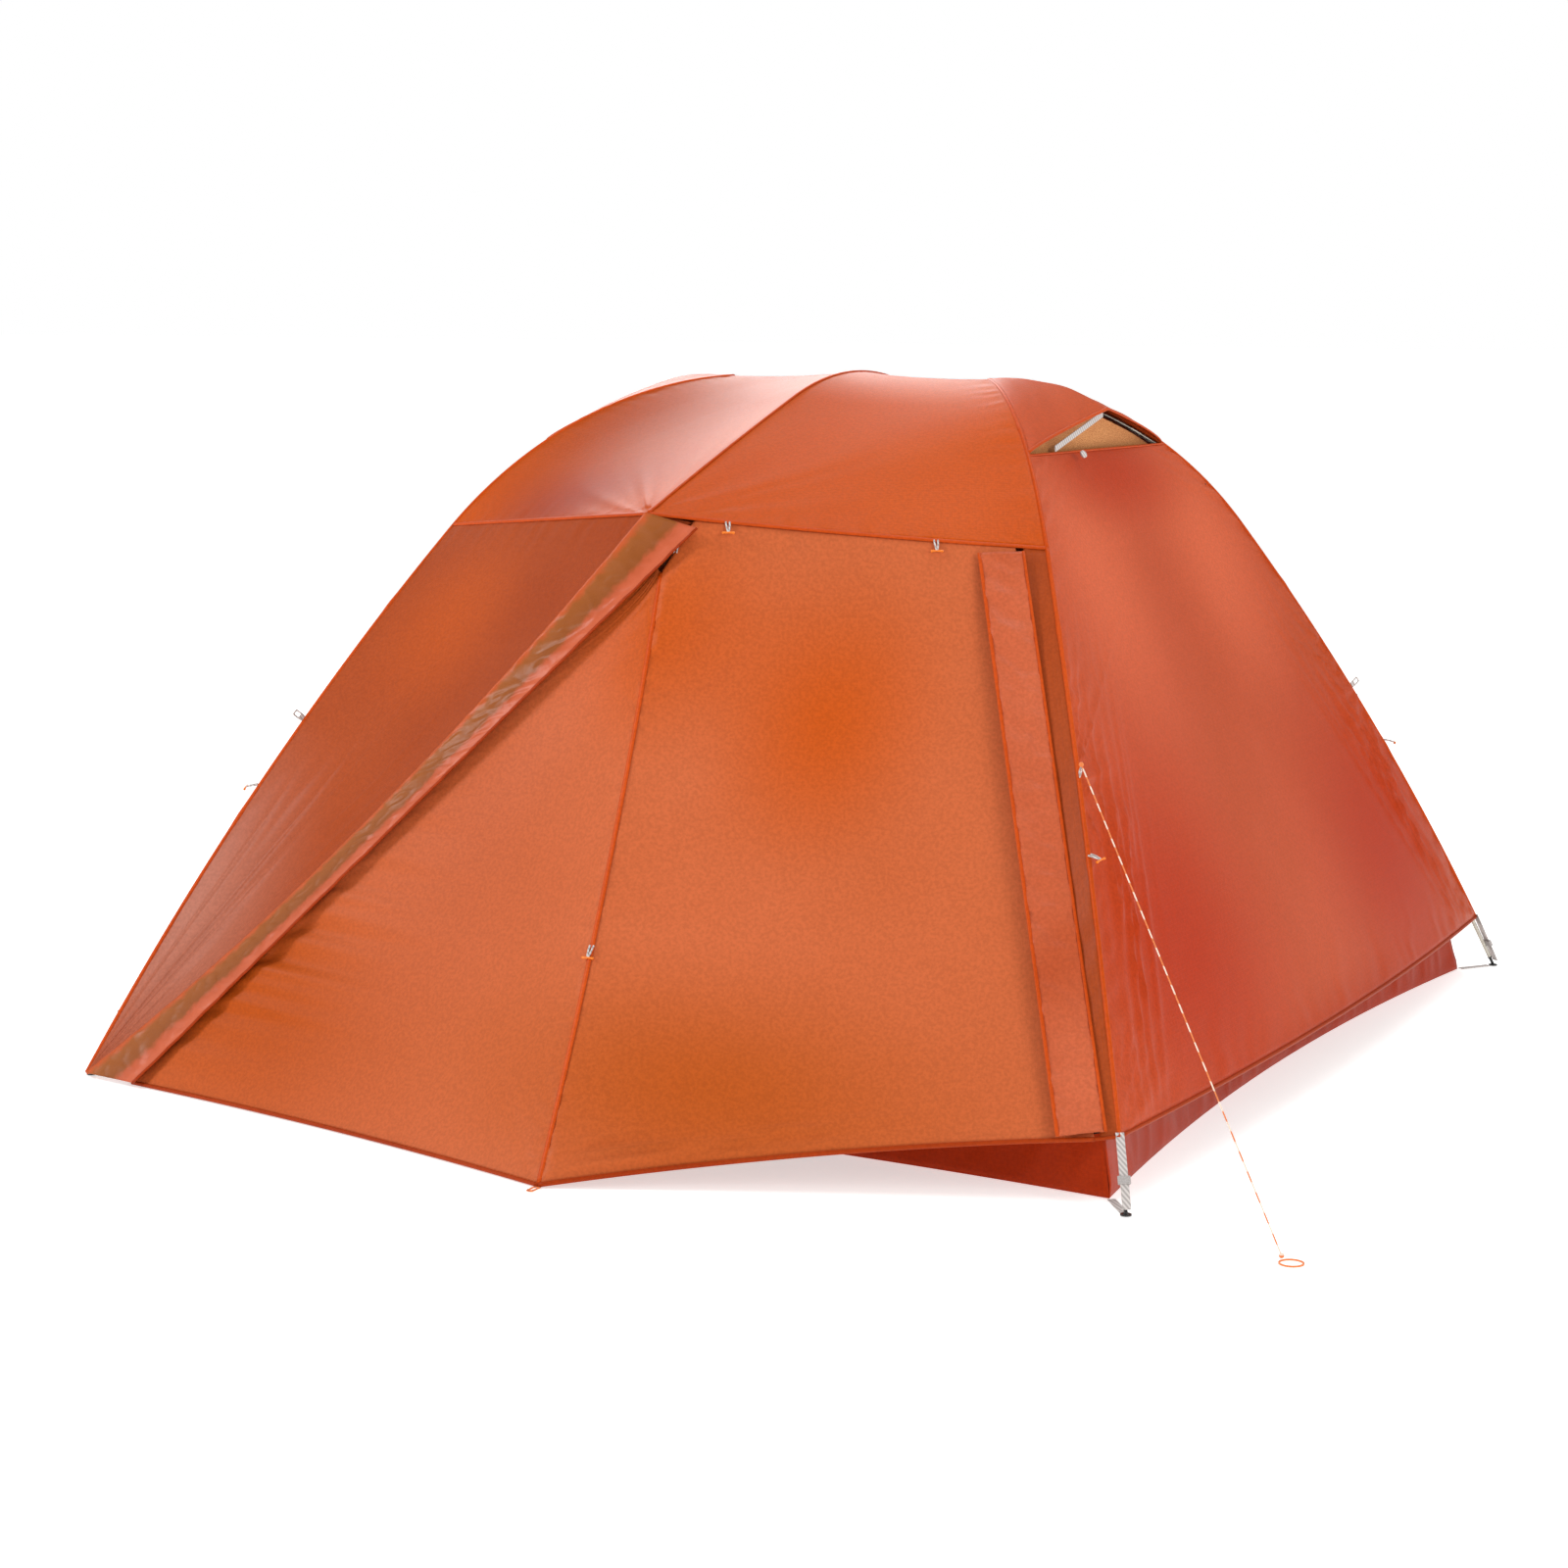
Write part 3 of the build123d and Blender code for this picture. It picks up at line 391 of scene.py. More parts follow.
def webbing(name, light, dark):
    """Flat woven nylon webbing with a matt face: its 1.5 mm ribs are drawn at 11 mm along an axis
    so that they show."""
    made, tree, surface, place = material(name, 0.8, colour=light, Sheen_Weight=0.25)
    ribs = node(tree, "ShaderNodeTexWave", {"bands_direction": "DIAGONAL"},
                Vector=(place, "Object"), Scale=1 / 0.018, Distortion=0.6, Detail=1.0)
    paint(tree, surface, (ribs, "Fac"), [(0.25, dark), (0.7, light)])
    bump(tree, surface, (ribs, "Fac"), 0.5, 0.0006)
    return made


def anodised_tube():
    """Drawn 7000-series aluminium, anodised: satin, with faint draw lines along each tube."""
    made, tree, surface, place = material("anodised_aluminium", 0.32, 1.0, "#B9B4A8")
    lines = node(tree, "ShaderNodeTexNoise", Vector=(place, "Object"), Scale=240.0, Detail=2.0)
    paint(tree, surface, (lines, "Fac"), [(0.3, "#A49E92"), (0.7, "#C8C3B8")])
    return made


def moulded(name, colour, dark, roughness):
    """Injection-moulded nylon or acetal: an even colour, with a spark-eroded grain of 0.5 mm that
    is drawn at 1.5 mm so that it shows."""
    made, tree, surface, place = material(name, roughness, colour=colour, IOR=1.5)
    grain = node(tree, "ShaderNodeTexNoise", Vector=(place, "Object"), Scale=1 / 0.0015, Detail=2.0)
    paint(tree, surface, (grain, "Fac"), [(0.35, dark), (0.65, colour)])
    bump(tree, surface, (grain, "Fac"), 0.25, 0.0002)
    return made


def zip_tape(name, along, across):
    """Woven tape with a nylon coil: teeth 1.5 mm apart across the tape, drawn at 8 mm so that
    they show, dark brown between them."""
    made, tree, surface, place = material(name, 0.7, colour="#6B3A14")
    turned = Matrix((along, across, along.cross(across))).to_euler()
    laid = node(tree, "ShaderNodeMapping", Vector=(place, "Object"), Rotation=turned)
    teeth = node(tree, "ShaderNodeTexWave", {"bands_direction": "X", "wave_profile": "SIN"},
                 Vector=(laid, 0), Scale=1 / (0.004 * 6.2))
    paint(tree, surface, (teeth, "Fac"), [(0.2, "#3A1C08"), (0.55, "#6E3E18"), (0.9, "#8A5426")])
    bump(tree, surface, (teeth, "Fac"), 0.8, 0.001)
    return made


netting = vent_netting()
inner_cloth = inner_polyester()
grey_web = webbing("grey_webbing", "#CFC8C4", "#A59E9A")
orange_web = webbing("orange_webbing", "#E87818", "#B85408")
pole_metal = anodised_tube()
black_nylon = moulded("black_moulded_nylon", "#1E1D1E", "#141314", 0.5)
orange_acetal = moulded("orange_moulded_acetal", "#F58212", "#DE6E08", 0.35)
grey_plastic = moulded("grey_moulded_nylon", "#B4AEAB", "#98928F", 0.5)
slider_zinc = moulded("painted_zinc_slider", "#4A3524", "#38281A", 0.4)
ring_steel = moulded("blackened_steel_ring", "#2A2726", "#1C1A19", 0.35)

# ---------------------------------------------------------------- cloth panels
def ripple(x, seed):
    """A smooth wave without a period, from -1 to 1."""
    return max(-1.0, min(1.0, 2.0 * noise.noise(Vector((x, seed * 7.3, seed * 3.1)))))


def creases(across, along, seed):
    """Sharp-topped folds; both distances are in fold spacings."""
    n = noise.noise(Vector((across, along, seed * 5.7)))
    return max(0.0, 1 - abs(n) * 3.2) ** 2


class Spot:
    """A place on a panel: shares u and v, distances in metres from its four seams, and middle,
    which is 0 on the seams and 1 at the panel's middle."""

    def __init__(self, u, v, width, height, p):
        self.u, self.v, self.p = u, v, p
        self.left, self.right = u * width, (1 - u) * width
        self.low, self.high = v * height, (1 - v) * height
        self.middle = 16 * u * (1 - u) * v * (1 - v)


def sew(seams, columns, rows, top_fade):
    """A grid of points between four seams. Past 1, top_fade keeps a bend in the top seam near it."""
    bottom, top, left, right = seams
    low, high = ([seam(u) for u in shares(columns)] for seam in (bottom, top))
    near, far = ([seam(v) for v in shares(rows)] for seam in (left, right))
    grid = []
    for j, v in enumerate(shares(rows)):
        v_top = v ** top_fade
        row = []
        for i, u in enumerate(shares(columns)):
            flat_low, flat_high = low[0].lerp(low[-1], u), high[0].lerp(high[-1], u)
            p = flat_low.lerp(flat_high, v)
            p += (low[i] - flat_low) * (1 - v) + (high[i] - flat_high) * v_top
            p += (near[j] - low[0].lerp(high[0], v)) * (1 - u)
            p += (far[j] - low[-1].lerp(high[-1], v)) * u
            row.append(p)
        grid.append(row)
    return grid


def seam_length(seam, steps=24):
    return sum((seam((i + 1) / steps) - seam(i / steps)).length for i in range(steps))


def mesh_piece(name, points, faces, **uv_maps):
    """A new mesh object, with a place for each point in each UV map."""
    mesh = bpy.data.meshes.new(name)
    mesh.from_pydata(points, [], faces)
    for title, places in uv_maps.items():
        layer = mesh.uv_layers.new(name=title)
        for loop in mesh.loops:
            layer.data[loop.index].uv = places[loop.vertex_index]
    mesh.validate()
    piece = bpy.data.objects.new(name, mesh)
    bpy.context.collection.objects.link(piece)
    return piece


def only(piece):
    """Deselects everything else and makes a piece the active one."""
    bpy.ops.object.select_all(action="DESELECT")
    piece.select_set(True)
    bpy.context.view_layer.objects.active = piece


def modify(piece, kind, **settings):
    """Adds a modifier and applies it."""
    only(piece)
    made = piece.modifiers.new(kind.lower(), kind)
    for key, value in settings.items():
        setattr(made, key, value)
    bpy.ops.object.modifier_apply(modifier=made.name)


def finish_piece(piece, mat, slot_name, *replaced, body="tent"):
    """Gives a piece its material, and tells the frame its body and hides the CAD nodes it replaces.
    Its slot name is not used.
    """
    piece.data.materials.clear()
    piece.data.materials.append(mat)
    for polygon in piece.data.polygons:
        polygon.use_smooth = True
    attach(piece, body)
    if replaced:
        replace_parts(piece, *replaced)


cloth_heart = Vector((0, 0, 0.3))        # inside the tent: cloth and its seams face away from
seam_heart = Vector((0, 0, 0.25))        # these


def cloth(name, seams, relief, mat, slot_name="fly_fabric", replaced=(), step=0.010,
          thickness=cloth_t, top_fade=1):
    """A panel of cloth between four seams (bottom, top, left, right), with its creases."""
    wide = max(seam_length(seams[0]), seam_length(seams[1]))
    tall = max(seam_length(seams[2]), seam_length(seams[3]))
    columns, rows = max(2, ceil(wide / step)), max(2, ceil(tall / step))
    grid = sew(seams, columns, rows, top_fade)
    middle = grid[rows // 2][columns // 2]
    flat_u = grid[rows // 2][columns // 2 + 1] - middle
    flat_v = grid[rows // 2 + 1][columns // 2] - middle
    outward = middle - cloth_heart
    side = 1 if flat_u.cross(flat_v).dot(outward) > 0 else -1
    heights = [(grid[rows][i] - grid[0][i]).length for i in range(columns + 1)]
    points, flat, uv_shares, area = [], [], [], 0.0
    for j, v in enumerate(shares(rows)):
        width = (grid[j][columns] - grid[j][0]).length
        for i, u in enumerate(shares(columns)):
            du = grid[j][min(columns, i + 1)] - grid[j][max(0, i - 1)]
            dv = grid[min(rows, j + 1)][i] - grid[max(0, j - 1)][i]
            normal = du.cross(dv)
            normal = normal.normalized() * side if normal.length > 1e-12 else outward.normalized()
            spot = Spot(u, v, width, heights[i], grid[j][i])
            points.append(grid[j][i] + normal * relief(spot))
            flat.append((u * wide, v * tall))
            uv_shares.append((u, v))
    across = columns + 1
    faces = []
    for j in range(rows):
        for i in range(columns):
            a = j * across + i
            quad = (a, a + 1, a + 1 + across, a + across)
            faces.append(quad if side > 0 else quad[::-1])
            area += ((points[a + 1] - points[a]).cross(points[a + across] - points[a])).length
    piece = mesh_piece(name, points, faces, UVMap=flat, share=uv_shares)
    modify(piece, "SOLIDIFY", thickness=thickness, offset=-1, use_even_offset=False)
    finish_piece(piece, mat, slot_name, *replaced)
    max(0.3 * wide * tall, min(area, wide * tall))
    return piece


def settle(distance, reach=0.018):
    """0 on a seam, 1 past its reach."""
    t = min(1.0, max(0.0, distance / reach))
    return t * t * (3 - 2 * t)


def pucker(distance, along, wave, reach, height, seed):
    """Short creases that a row of stitches gathers, straight out from their seam."""
    wander = 0.4 * ripple(distance / 0.05 + along / 0.2, seed + 3)
    return height * exp(-distance / reach) * ripple(along / wave + wander, seed)


# ---------------------------------------------------------------- fly panels
def roof_relief(seed, s):
    lock = settle(min(s.left, s.right, s.low, s.high))
    sag = -0.016 * s.middle
    seam = pucker(s.low, s.left, 0.020, 0.035, 0.0022, seed)
    seam += pucker(s.right, s.low, 0.024, 0.030, 0.0016, seed + 1)
    fan = 0.0030 * exp(-s.left / 0.20) * exp(-s.low / 0.25) * ripple(
        atan2(s.low + 0.01, s.left + 0.01) * 7, seed + 2)
    return sag + lock * (seam + fan + 0.0012 * ripple(s.left / 0.16 + s.low / 0.25, seed + 4))


def end_relief(seed, s):
    lock = settle(min(s.left, s.right, s.low, s.high))
    near, far = min(s.left, s.right), 1 - 2 * min(s.u, 1 - s.u)
    sag = -0.030 * s.middle
    streak = 0.0115 * exp(-((near - 0.13) / 0.10) ** 2) * exp(-((s.v - 0.27) / 0.22) ** 2) * \
        creases(near / 0.050, s.low / 0.50, seed)
    side = pucker(near, s.low, 0.035, 0.060, 0.0045, seed + 1)
    fan_v = s.low - 0.62
    fan = 0.0100 * exp(-near / 0.16) * exp(-(fan_v / 0.22) ** 2) * creases(
        atan2(fan_v, near + 0.02) * 2.6, near / 0.5, seed + 2)
    corner = 0.0085 * exp(-s.low / 0.10) * exp(-near / 0.22) * creases(
        atan2(s.low + 0.01, near + 0.01) * 3.2, 0.0, seed + 3)
    hem = pucker(s.low, s.left, 0.060, 0.050, 0.0025, seed + 4)
    return sag + lock * (streak + side + fan + corner + hem) + \
        0.0015 * lock * ripple(s.left / 0.30, seed + 5) * (1 - far)


def hood_relief(seed, s):
    lock = settle(min(s.left, s.right, s.high), 0.03)
    return lock * (0.0016 * ripple(s.left / 0.10, seed) - 0.006 * sin(pi * s.u) * sin(pi * s.v))


def side_relief(seed, s):
    """The side panel: long streaks that run down along the pole, and pulls at the ground corner."""
    lock = settle(min(s.left, s.right, s.high))
    sag = -0.020 * s.middle
    streak = 0.0080 * sin(pi * s.u) * exp(-((s.v - 0.30) / 0.26) ** 2) * \
        creases(s.u * 7.0, s.low / 0.7, seed)
    top = pucker(s.high, s.left, 0.022, 0.035, 0.0022, seed + 1)
    return sag + lock * (streak + top + pucker(s.left, s.low, 0.026, 0.03, 0.0016, seed + 2))


def left_door_relief(seed, s):
    """Level ripples that run out of the diagonal zip low down, and puckers at the centre seam."""
    lock = settle(min(s.left, s.right, s.low))
    sag = -0.016 * s.middle
    z = s.p.z
    level = 0.0100 * exp(-s.left / 0.17) * exp(-((z - 0.24) / 0.20) ** 2) * \
        ripple(z / 0.030 + s.left / 1.1, seed)
    seam = pucker(s.right, s.low, 0.022, 0.034, 0.0038, seed + 1)
    zip_side = pucker(s.left, s.low, 0.030, 0.022, 0.0020, seed + 2)
    corner = 0.0040 * exp(-s.right / 0.20) * exp(-s.low / 0.16) * creases(
        atan2(s.low + 0.02, s.right + 0.02) * 2.6, 0.0, seed + 3)
    return sag + lock * (level + seam + zip_side + corner)


def right_door_relief(seed, s):
    """Folds under the top seam and along the hem, fans at the centre seam's ends."""
    lock = settle(min(s.left, s.right, s.low, s.high))
    sag = -0.026 * s.middle
    top = 0.0105 * exp(-s.high / 0.060) * exp(-((s.u - 0.30) / 0.30) ** 2) * \
        creases(s.high / 0.016 + s.left / 0.30, s.left / 0.28, seed)
    fan = 0.0095 * exp(-s.left / 0.16) * exp(-((s.v - 0.86) / 0.13) ** 2) * creases(
        (s.low - 0.55 * s.left) / 0.045, s.left / 0.4, seed + 1)
    seam = pucker(s.left, s.low, 0.022, 0.034, 0.0038, seed + 2)
    hem = 0.0110 * exp(-((s.low - 0.045) / 0.045) ** 2) * exp(-((s.u - 0.25) / 0.34) ** 2) * \
        creases(s.low / 0.028 - s.left / 0.9, s.left / 0.55, seed + 3)
    edge = pucker(s.right, s.low, 0.020, 0.022, 0.0018, seed + 4)
    broad = 0.0018 * ripple(s.left / 0.35 + 0.3, seed + 5) * ripple(s.low / 0.30, seed + 6)
    return sag + lock * (top + fan + seam + hem + edge + broad)


def strip_relief(seed, s):
    """A narrow strip: upright pleats under its top seam."""
    lock = settle(min(s.left, s.right, s.high), 0.008)
    return lock * (0.0028 * exp(-s.high / 0.22) * ripple(s.left / 0.014, seed)
                   + 0.0012 * ripple(s.low / 0.05, seed + 1))


def crinkle_relief(seed, s, height):
    """Loose crinkled flap cloth, fullest at the middle of its width."""
    lock = settle(min(s.left, s.right), 0.010)
    rough = creases(s.left / 0.035 + s.low / 0.06, s.low / 0.050, seed)
    rough += 0.8 * ripple(s.low / 0.045 + s.left / 0.05, seed + 1)
    return lock * height * rough + 0.3 * height * ripple(s.low / 0.02, seed + 2)


def smooth_relief(s):
    return -0.010 * s.middle


end_wall_seams = (end_hem, wall_top, leg_seam(1, -1, hem_run, wall_run),
                  leg_seam(1, 1, hem_run, wall_run))
hood_seams = (hood_edge,
              straight(leg_point(1, -1, 0, seam_stand), leg_point(1, 1, 0, seam_stand)),
              leg_seam(1, -1, vent_run, 0), leg_seam(1, 1, vent_run, 0))
roof_seams = (roof_seam, straight(crossing, hub_top, (0, 0, -0.005)),
              lambda t: brow_point(-1, brow_reach * (1 - t), seam_stand),
              leg_seam(1, -1, roof_seam_run, 0))
side_seams = (straight(corner_left, fold_foot), straight(seam_left, brow_end), low_leg_seam,
              lambda t: fold(1 - t))
facing_seams = (straight(fold_foot, diagonal.at(diagonal.length, -zip_edge)),
                straight(brow_end, diagonal.at(0, -zip_edge)), lambda t: fold(1 - t),
                diagonal.line(-zip_edge))
left_door_seams = (left_hem, straight(diagonal.at(door_start, zip_edge), door_seam_top),
                   diagonal.line(zip_edge, first=door_start), centre_seam)
right_door_seams = (right_hem, door_top, centre_seam,
                    up_to(upright.line(-zip_edge), roof_seam(door_roof_end)))
strip_seams = (straight(upright.at(upright.length, zip_edge), corner_right),
               straight(roof_seam(strip_roof_start), seam_right),
               up_to(upright.line(zip_edge), roof_seam(strip_roof_start)),
               leg_seam(1, -1, hem_run, roof_seam_run))

flap_root = 0.006           # storm flap's root in front of the fold
flap_stand = 0.016          # flaps in front of their zips
flap_width = 0.024          # storm flap past its zip
flap_end = 0.010            # and short of the zip's foot
leg_flap_width = 0.066
leg_flap_lip = 0.016        # leg flap's root, on the other side of its zip
leg_flap_cut = 0.008        # leg flap short of its zip at each end
leg_flap_rise = 0.008       # and further in front of it at the top


def leg_flap_side(across, low, rise):
    """A long side of the leg flap, from its foot up."""
    run = upright.length - 2 * leg_flap_cut
    return lambda t: upright.at(upright.length - leg_flap_cut - run * t, across, low + rise * t)


def flap_seams(loose, root):
    return straight(loose(0), root(0)), straight(loose(1), root(1)), loose, root


leg_flap_loose = leg_flap_side(-leg_flap_width, flap_stand, leg_flap_rise)
leg_flap_root = leg_flap_side(leg_flap_lip, flap_stand / 2, 0)
leg_flap_seams = flap_seams(leg_flap_loose, leg_flap_root)
storm_flap_seams = flap_seams(
    lambda t: fold(1 - t) + diagonal.out * flap_root,
    lambda t: diagonal.at((diagonal.length - flap_end) * (1 - t), flap_width, flap_stand))

# Cloths of a vestibule: name, seams, creases, material, CAD node, mesh step and top fade.
vestibule_cloths = (
    ("vestibule_side_cloth", side_seams, side_relief, side_nylon, "vestibule_side", 0.010, 1),
    ("zip_facing_cloth", facing_seams, strip_relief, side_nylon, None, 0.010, 1),
    ("door_cloth_left", left_door_seams, left_door_relief, door_nylon, "door_left", 0.009, 1),
    ("door_cloth_right", right_door_seams, right_door_relief, door_nylon, "door_right", 0.009, 14),
    ("leg_strip_cloth", strip_seams, strip_relief, side_nylon, "leg_zip_flap", 0.007, 1),
    ("leg_flap_cloth", leg_flap_seams, partial(crinkle_relief, height=0.0035), flap_nylon, None,
     0.006, 1),
    ("storm_flap_cloth", storm_flap_seams, partial(crinkle_relief, height=0.0022), storm_nylon,
     "storm_flap", 0.006, 1),
)

for sx, side in halves:
    cloth(f"end_wall_cloth_{side}", flipped(end_wall_seams, sx, -1), partial(end_relief, 3 + sx),
          wall_nylon, replaced=[f"end_wall_{side}"], step=0.011)
    cloth(f"vent_hood_cloth_{side}", flipped(hood_seams, sx, -1), partial(hood_relief, 9 + sx),
          hood_nylon, replaced=[f"vent_hood_{side}"])

for sy, side in vestibules:
    for sx, half in halves:
        cloth(f"roof_cloth_{side}_{half}", flipped(roof_seams, sx, sy),
              partial(roof_relief, 11 + 2 * sx + sy), roof_nylon, replaced=[f"fly_roof_{half}"])
    seed = 20 if sy < 0 else 40
    for k, (name, seams, relief, mat, node_name, step, top_fade) in enumerate(vestibule_cloths):
        cloth(f"{name}_{side}", flipped(seams, 1, sy), partial(relief, seed + k), mat,
              replaced=[f"{node_name}_{side}"] if node_name else (), step=step, top_fade=top_fade)


# ---------------------------------------------------------------- seams and hems
def ring_faces(rings, sides):
    """Faces that join rings of points into a closed tube."""
    faces = []
    for i in range(rings - 1):
        for k in range(sides):
            a, b = i * sides + k, i * sides + (k + 1) % sides
            faces.append((a, b, b + sides, a + sides))
    return faces + [tuple(reversed(range(sides))), tuple(range((rings - 1) * sides, rings * sides))]


def route(name, seam, radius, mat, slot_name="fly_fabric", flat=1.0, steps=90, bulges=(),
          lift=0.0):
    """A round or flattened binding along a seam, thicker at its bulges (share, width, extra)."""
    sides = 10
    look = 0.004            # share of the seam that gives its direction
    points = []
    for t in shares(steps):
        p = seam(t)
        lead = (seam(min(1, t + look)) - seam(max(0, t - look))).normalized()
        out = (p - seam_heart) - lead * (p - seam_heart).dot(lead)
        out.normalize()
        beside = lead.cross(out)
        r = radius + sum(extra * exp(-((t - at) / width) ** 2) for at, width, extra in bulges)
        for k in range(sides):
            a = 2 * pi * k / sides
            points.append(p + out * (lift + r * flat * sin(a)) + beside * r * cos(a))
    piece = mesh_piece(name, points, ring_faces(steps + 1, sides))
    only(piece)
    bpy.ops.object.mode_set(mode="EDIT")
    bpy.ops.mesh.select_all(action="SELECT")
    bpy.ops.mesh.normals_make_consistent(inside=False)
    bpy.ops.object.mode_set(mode="OBJECT")
    finish_piece(piece, mat, slot_name)
    return piece


seam_r = 0.0045
ferrule = (0.015, 0.0010)   # a pole joint under a seam: its reach as a share, and its height
for sx, half in halves:
    for sy, side in vestibules:
        high = flipped((leg_seam(1, -1, 0, roof_seam_run),), sx, sy)[0]
        low = leg_seam(1, -1, roof_seam_run, hem_run) if sx > 0 else (lambda t: low_leg_seam(1 - t))
        low = flipped((low,), 1, sy)[0]
        route(f"leg_seam_high_{side}_{half}", high, seam_r, seam_nylon, bulges=[(0.55, 0.02, 0.001)],
              lift=-0.002)
        route(f"leg_seam_low_{side}_{half}", low, seam_r, seam_nylon,
              bulges=[(0.18, *ferrule), (0.60, *ferrule)], lift=-0.002)
    for name, seam, radius, mat, flat in (("end_hem", end_hem, 0.0035, edge_nylon, 1.0),
                                          ("vent_edge", hood_edge, 0.0040, seam_nylon, 0.6),
                                          ("vent_sill", wall_top, 0.0030, seam_nylon, 0.6)):
        route(f"{name}_{half}", flipped((seam,), sx, -1)[0], radius, mat, flat=flat)

bindings = {
    "brow_seam": (lambda t: brow_point(-1, brow_reach * t, seam_stand), 0.0040, seam_nylon, 0.7),
    "roof_seam_right": (roof_seam, 0.0048, seam_nylon, 0.35),
    "roof_seam_left": (straight(brow_end, seam_left), 0.0045, seam_nylon, 0.35),
    "centre_seam": (centre_seam, 0.0045, seam_nylon, 0.35),
    "fold_seam": (fold, 0.0035, seam_nylon, 0.5),
    "door_hem_left": (left_hem, 0.0040, edge_nylon, 0.8),
    "door_hem_right": (right_hem, 0.0045, edge_nylon, 0.8),
    "strip_hem": (straight(upright.at(upright.length, -zip_edge), corner_right), 0.0035, edge_nylon,
                  0.8),
    "storm_flap_edge": (lambda t: diagonal.at((diagonal.length - flap_end) * t, flap_width,
                                              flap_stand + 0.0008 * ripple(t * 60, 4)),
                        0.0032, edge_nylon, 0.6),
    "leg_flap_edge": (lambda t: leg_flap_loose(1 - t) + upright.out * 0.001 * ripple(t * 50, 8),
                      0.0036, seam_nylon, 0.6),
    "leg_flap_root": (lambda t: leg_flap_root(1 - t), 0.0030, seam_nylon, 0.6),
}
for sy, side in vestibules:
    for name, (seam, radius, mat, flat) in bindings.items():
        route(f"{name}_{side}", flipped((seam,), 1, sy)[0], radius, mat, flat=flat)

# ---------------------------------------------------------------- inner tent
inner_inset = 0.046
inner_top_run = 0.120
inner_foot_run = 1.350
tray_lean = 0.026
tray_bow = 0.068
tray_foot = Vector((1.028, 1.135, 0))
tray_low = 0.0015           # the tray's wall above the ground


def tray_corner(sx, sy, z):
    lean = tray_lean * z / tray_height
    return Vector((sx * (tray_foot.x - lean), sy * (tray_foot.y - lean), z))


def bowed(p, q):
    """An edge from corner to corner of the tray, bowed in."""
    inward = -(p + q) / 2
    inward.z = 0
    return straight(p, q, inward.normalized() * tray_bow)


def inner_leg(sx, sy):
    """The inner tent's corner seam: inside the leg, and drawn in to the tray low down."""
    corner = tray_corner(sx, sy, tray_height) + Vector((0, 0, 0.003))
    shift = corner - leg_point(sx, sy, inner_foot_run, -inner_inset)

    def seam(t):
        run = inner_foot_run + (inner_top_run - inner_foot_run) * t
        return leg_point(sx, sy, run, -inner_inset) + shift * (1 - t) ** 2
    return seam


def tray_edge(z, ax, ay, bx, by):
    return bowed(tray_corner(ax, ay, z), tray_corner(bx, by, z))


def tray_relief(s):
    return settle(min(s.low, s.high), 0.02) * (0.0035 * creases(s.left / 0.09, s.low / 0.5, 60)
                                               + 0.002 * ripple(s.left / 0.12, 61))


sides = {"right": (1, -1, 1, 1), "back": (1, 1, -1, 1), "left": (-1, 1, -1, -1),
         "front": (-1, -1, 1, -1)}
for side, (ax, ay, bx, by) in sides.items():
    p, q = inner_leg(ax, ay), inner_leg(bx, by)
    cloth(f"inner_wall_cloth_{side}", (bowed(p(0), q(0)), straight(p(1), q(1)), p, q), smooth_relief,
          inner_cloth, "inner_fabric", [f"inner_wall_{side}"], step=0.03)
    ends = [straight((x * tray_foot.x, y * tray_foot.y, tray_low), tray_corner(x, y, tray_height))
            for x, y in ((ax, ay), (bx, by))]
    cloth(f"tray_wall_cloth_{side}", (tray_edge(tray_low, ax, ay, bx, by),
                                      tray_edge(tray_height, ax, ay, bx, by), *ends),
          tray_relief, floor_nylon, "floor_fabric", step=0.012)
front_left, front_right, back_left, back_right = (
    inner_leg(sx, sy)(1) for sy in (-1, 1) for sx in (-1, 1))
cloth("inner_roof_cloth", (straight(front_left, front_right), straight(back_left, back_right),
                           straight(front_left, back_left), straight(front_right, back_right)),
      smooth_relief, inner_cloth, "inner_fabric", ["inner_roof"], step=0.03)
floor_edge = [tray_edge(0.0012, *sides[name]) for name in ("front", "back", "left", "right")]
cloth("tray_floor_cloth", (floor_edge[0], lambda t: floor_edge[1](1 - t),
                           lambda t: floor_edge[2](1 - t), floor_edge[3]),
      lambda s: 0.0, floor_nylon, "floor_fabric", ["floor_tray"], step=0.05)

# ---------------------------------------------------------------- hardware finishes
def dress(mat, *nodes):
    """Gives CAD nodes that stay in view their material."""
    for name in nodes:
        part = bpy.data.objects[name]
        part.data.materials.clear()
        part.data.materials.append(mat)


dress(pole_metal, "ridge_pole", "brow_pole", "pole_ferrules",
      *[f"leg_pole_{e}_{h}" for _, e in vestibules for _, h in halves])
dress(black_nylon, "ridge_hubs", "brow_swivel", "inner_tent_clips", "pole_tips")
dress(ring_steel, "foot_grommets")
dress(grey_web, "corner_straps", "guy_loops", "vent_strut_left", "vent_strut_right")
dress(orange_web, "stake_loops")
dress(grey_plastic, *[f"strap_adjuster_{e}" for _, e in vestibules])
dress(slider_zinc, *[f"{z}_slider_{e}" for z in ("diagonal", "leg") for _, e in vestibules])
dress(netting, "vent_mesh")
for chain, name in ((diagonal, "diagonal_zip"), (upright, "leg_zip")):
    dress(zip_tape(f"{name}_tape_front", chain.along, chain.across), f"{name}_front")
    back = [Vector((v.x, -v.y, v.z)) for v in (chain.along, chain.across)]
    dress(zip_tape(f"{name}_tape_back", *back), f"{name}_back")

# ---------------------------------------------------------------- toggles and pulls
toggle_drop = 0.026
toggle_stand = 0.005
toggle_length = 0.024
web_r = 0.0019              # half of one webbing strand's width
web_spread = 0.0030         # the strands' half spacing at the seam, past web_gap
web_gap = 0.0006            # and at the bar


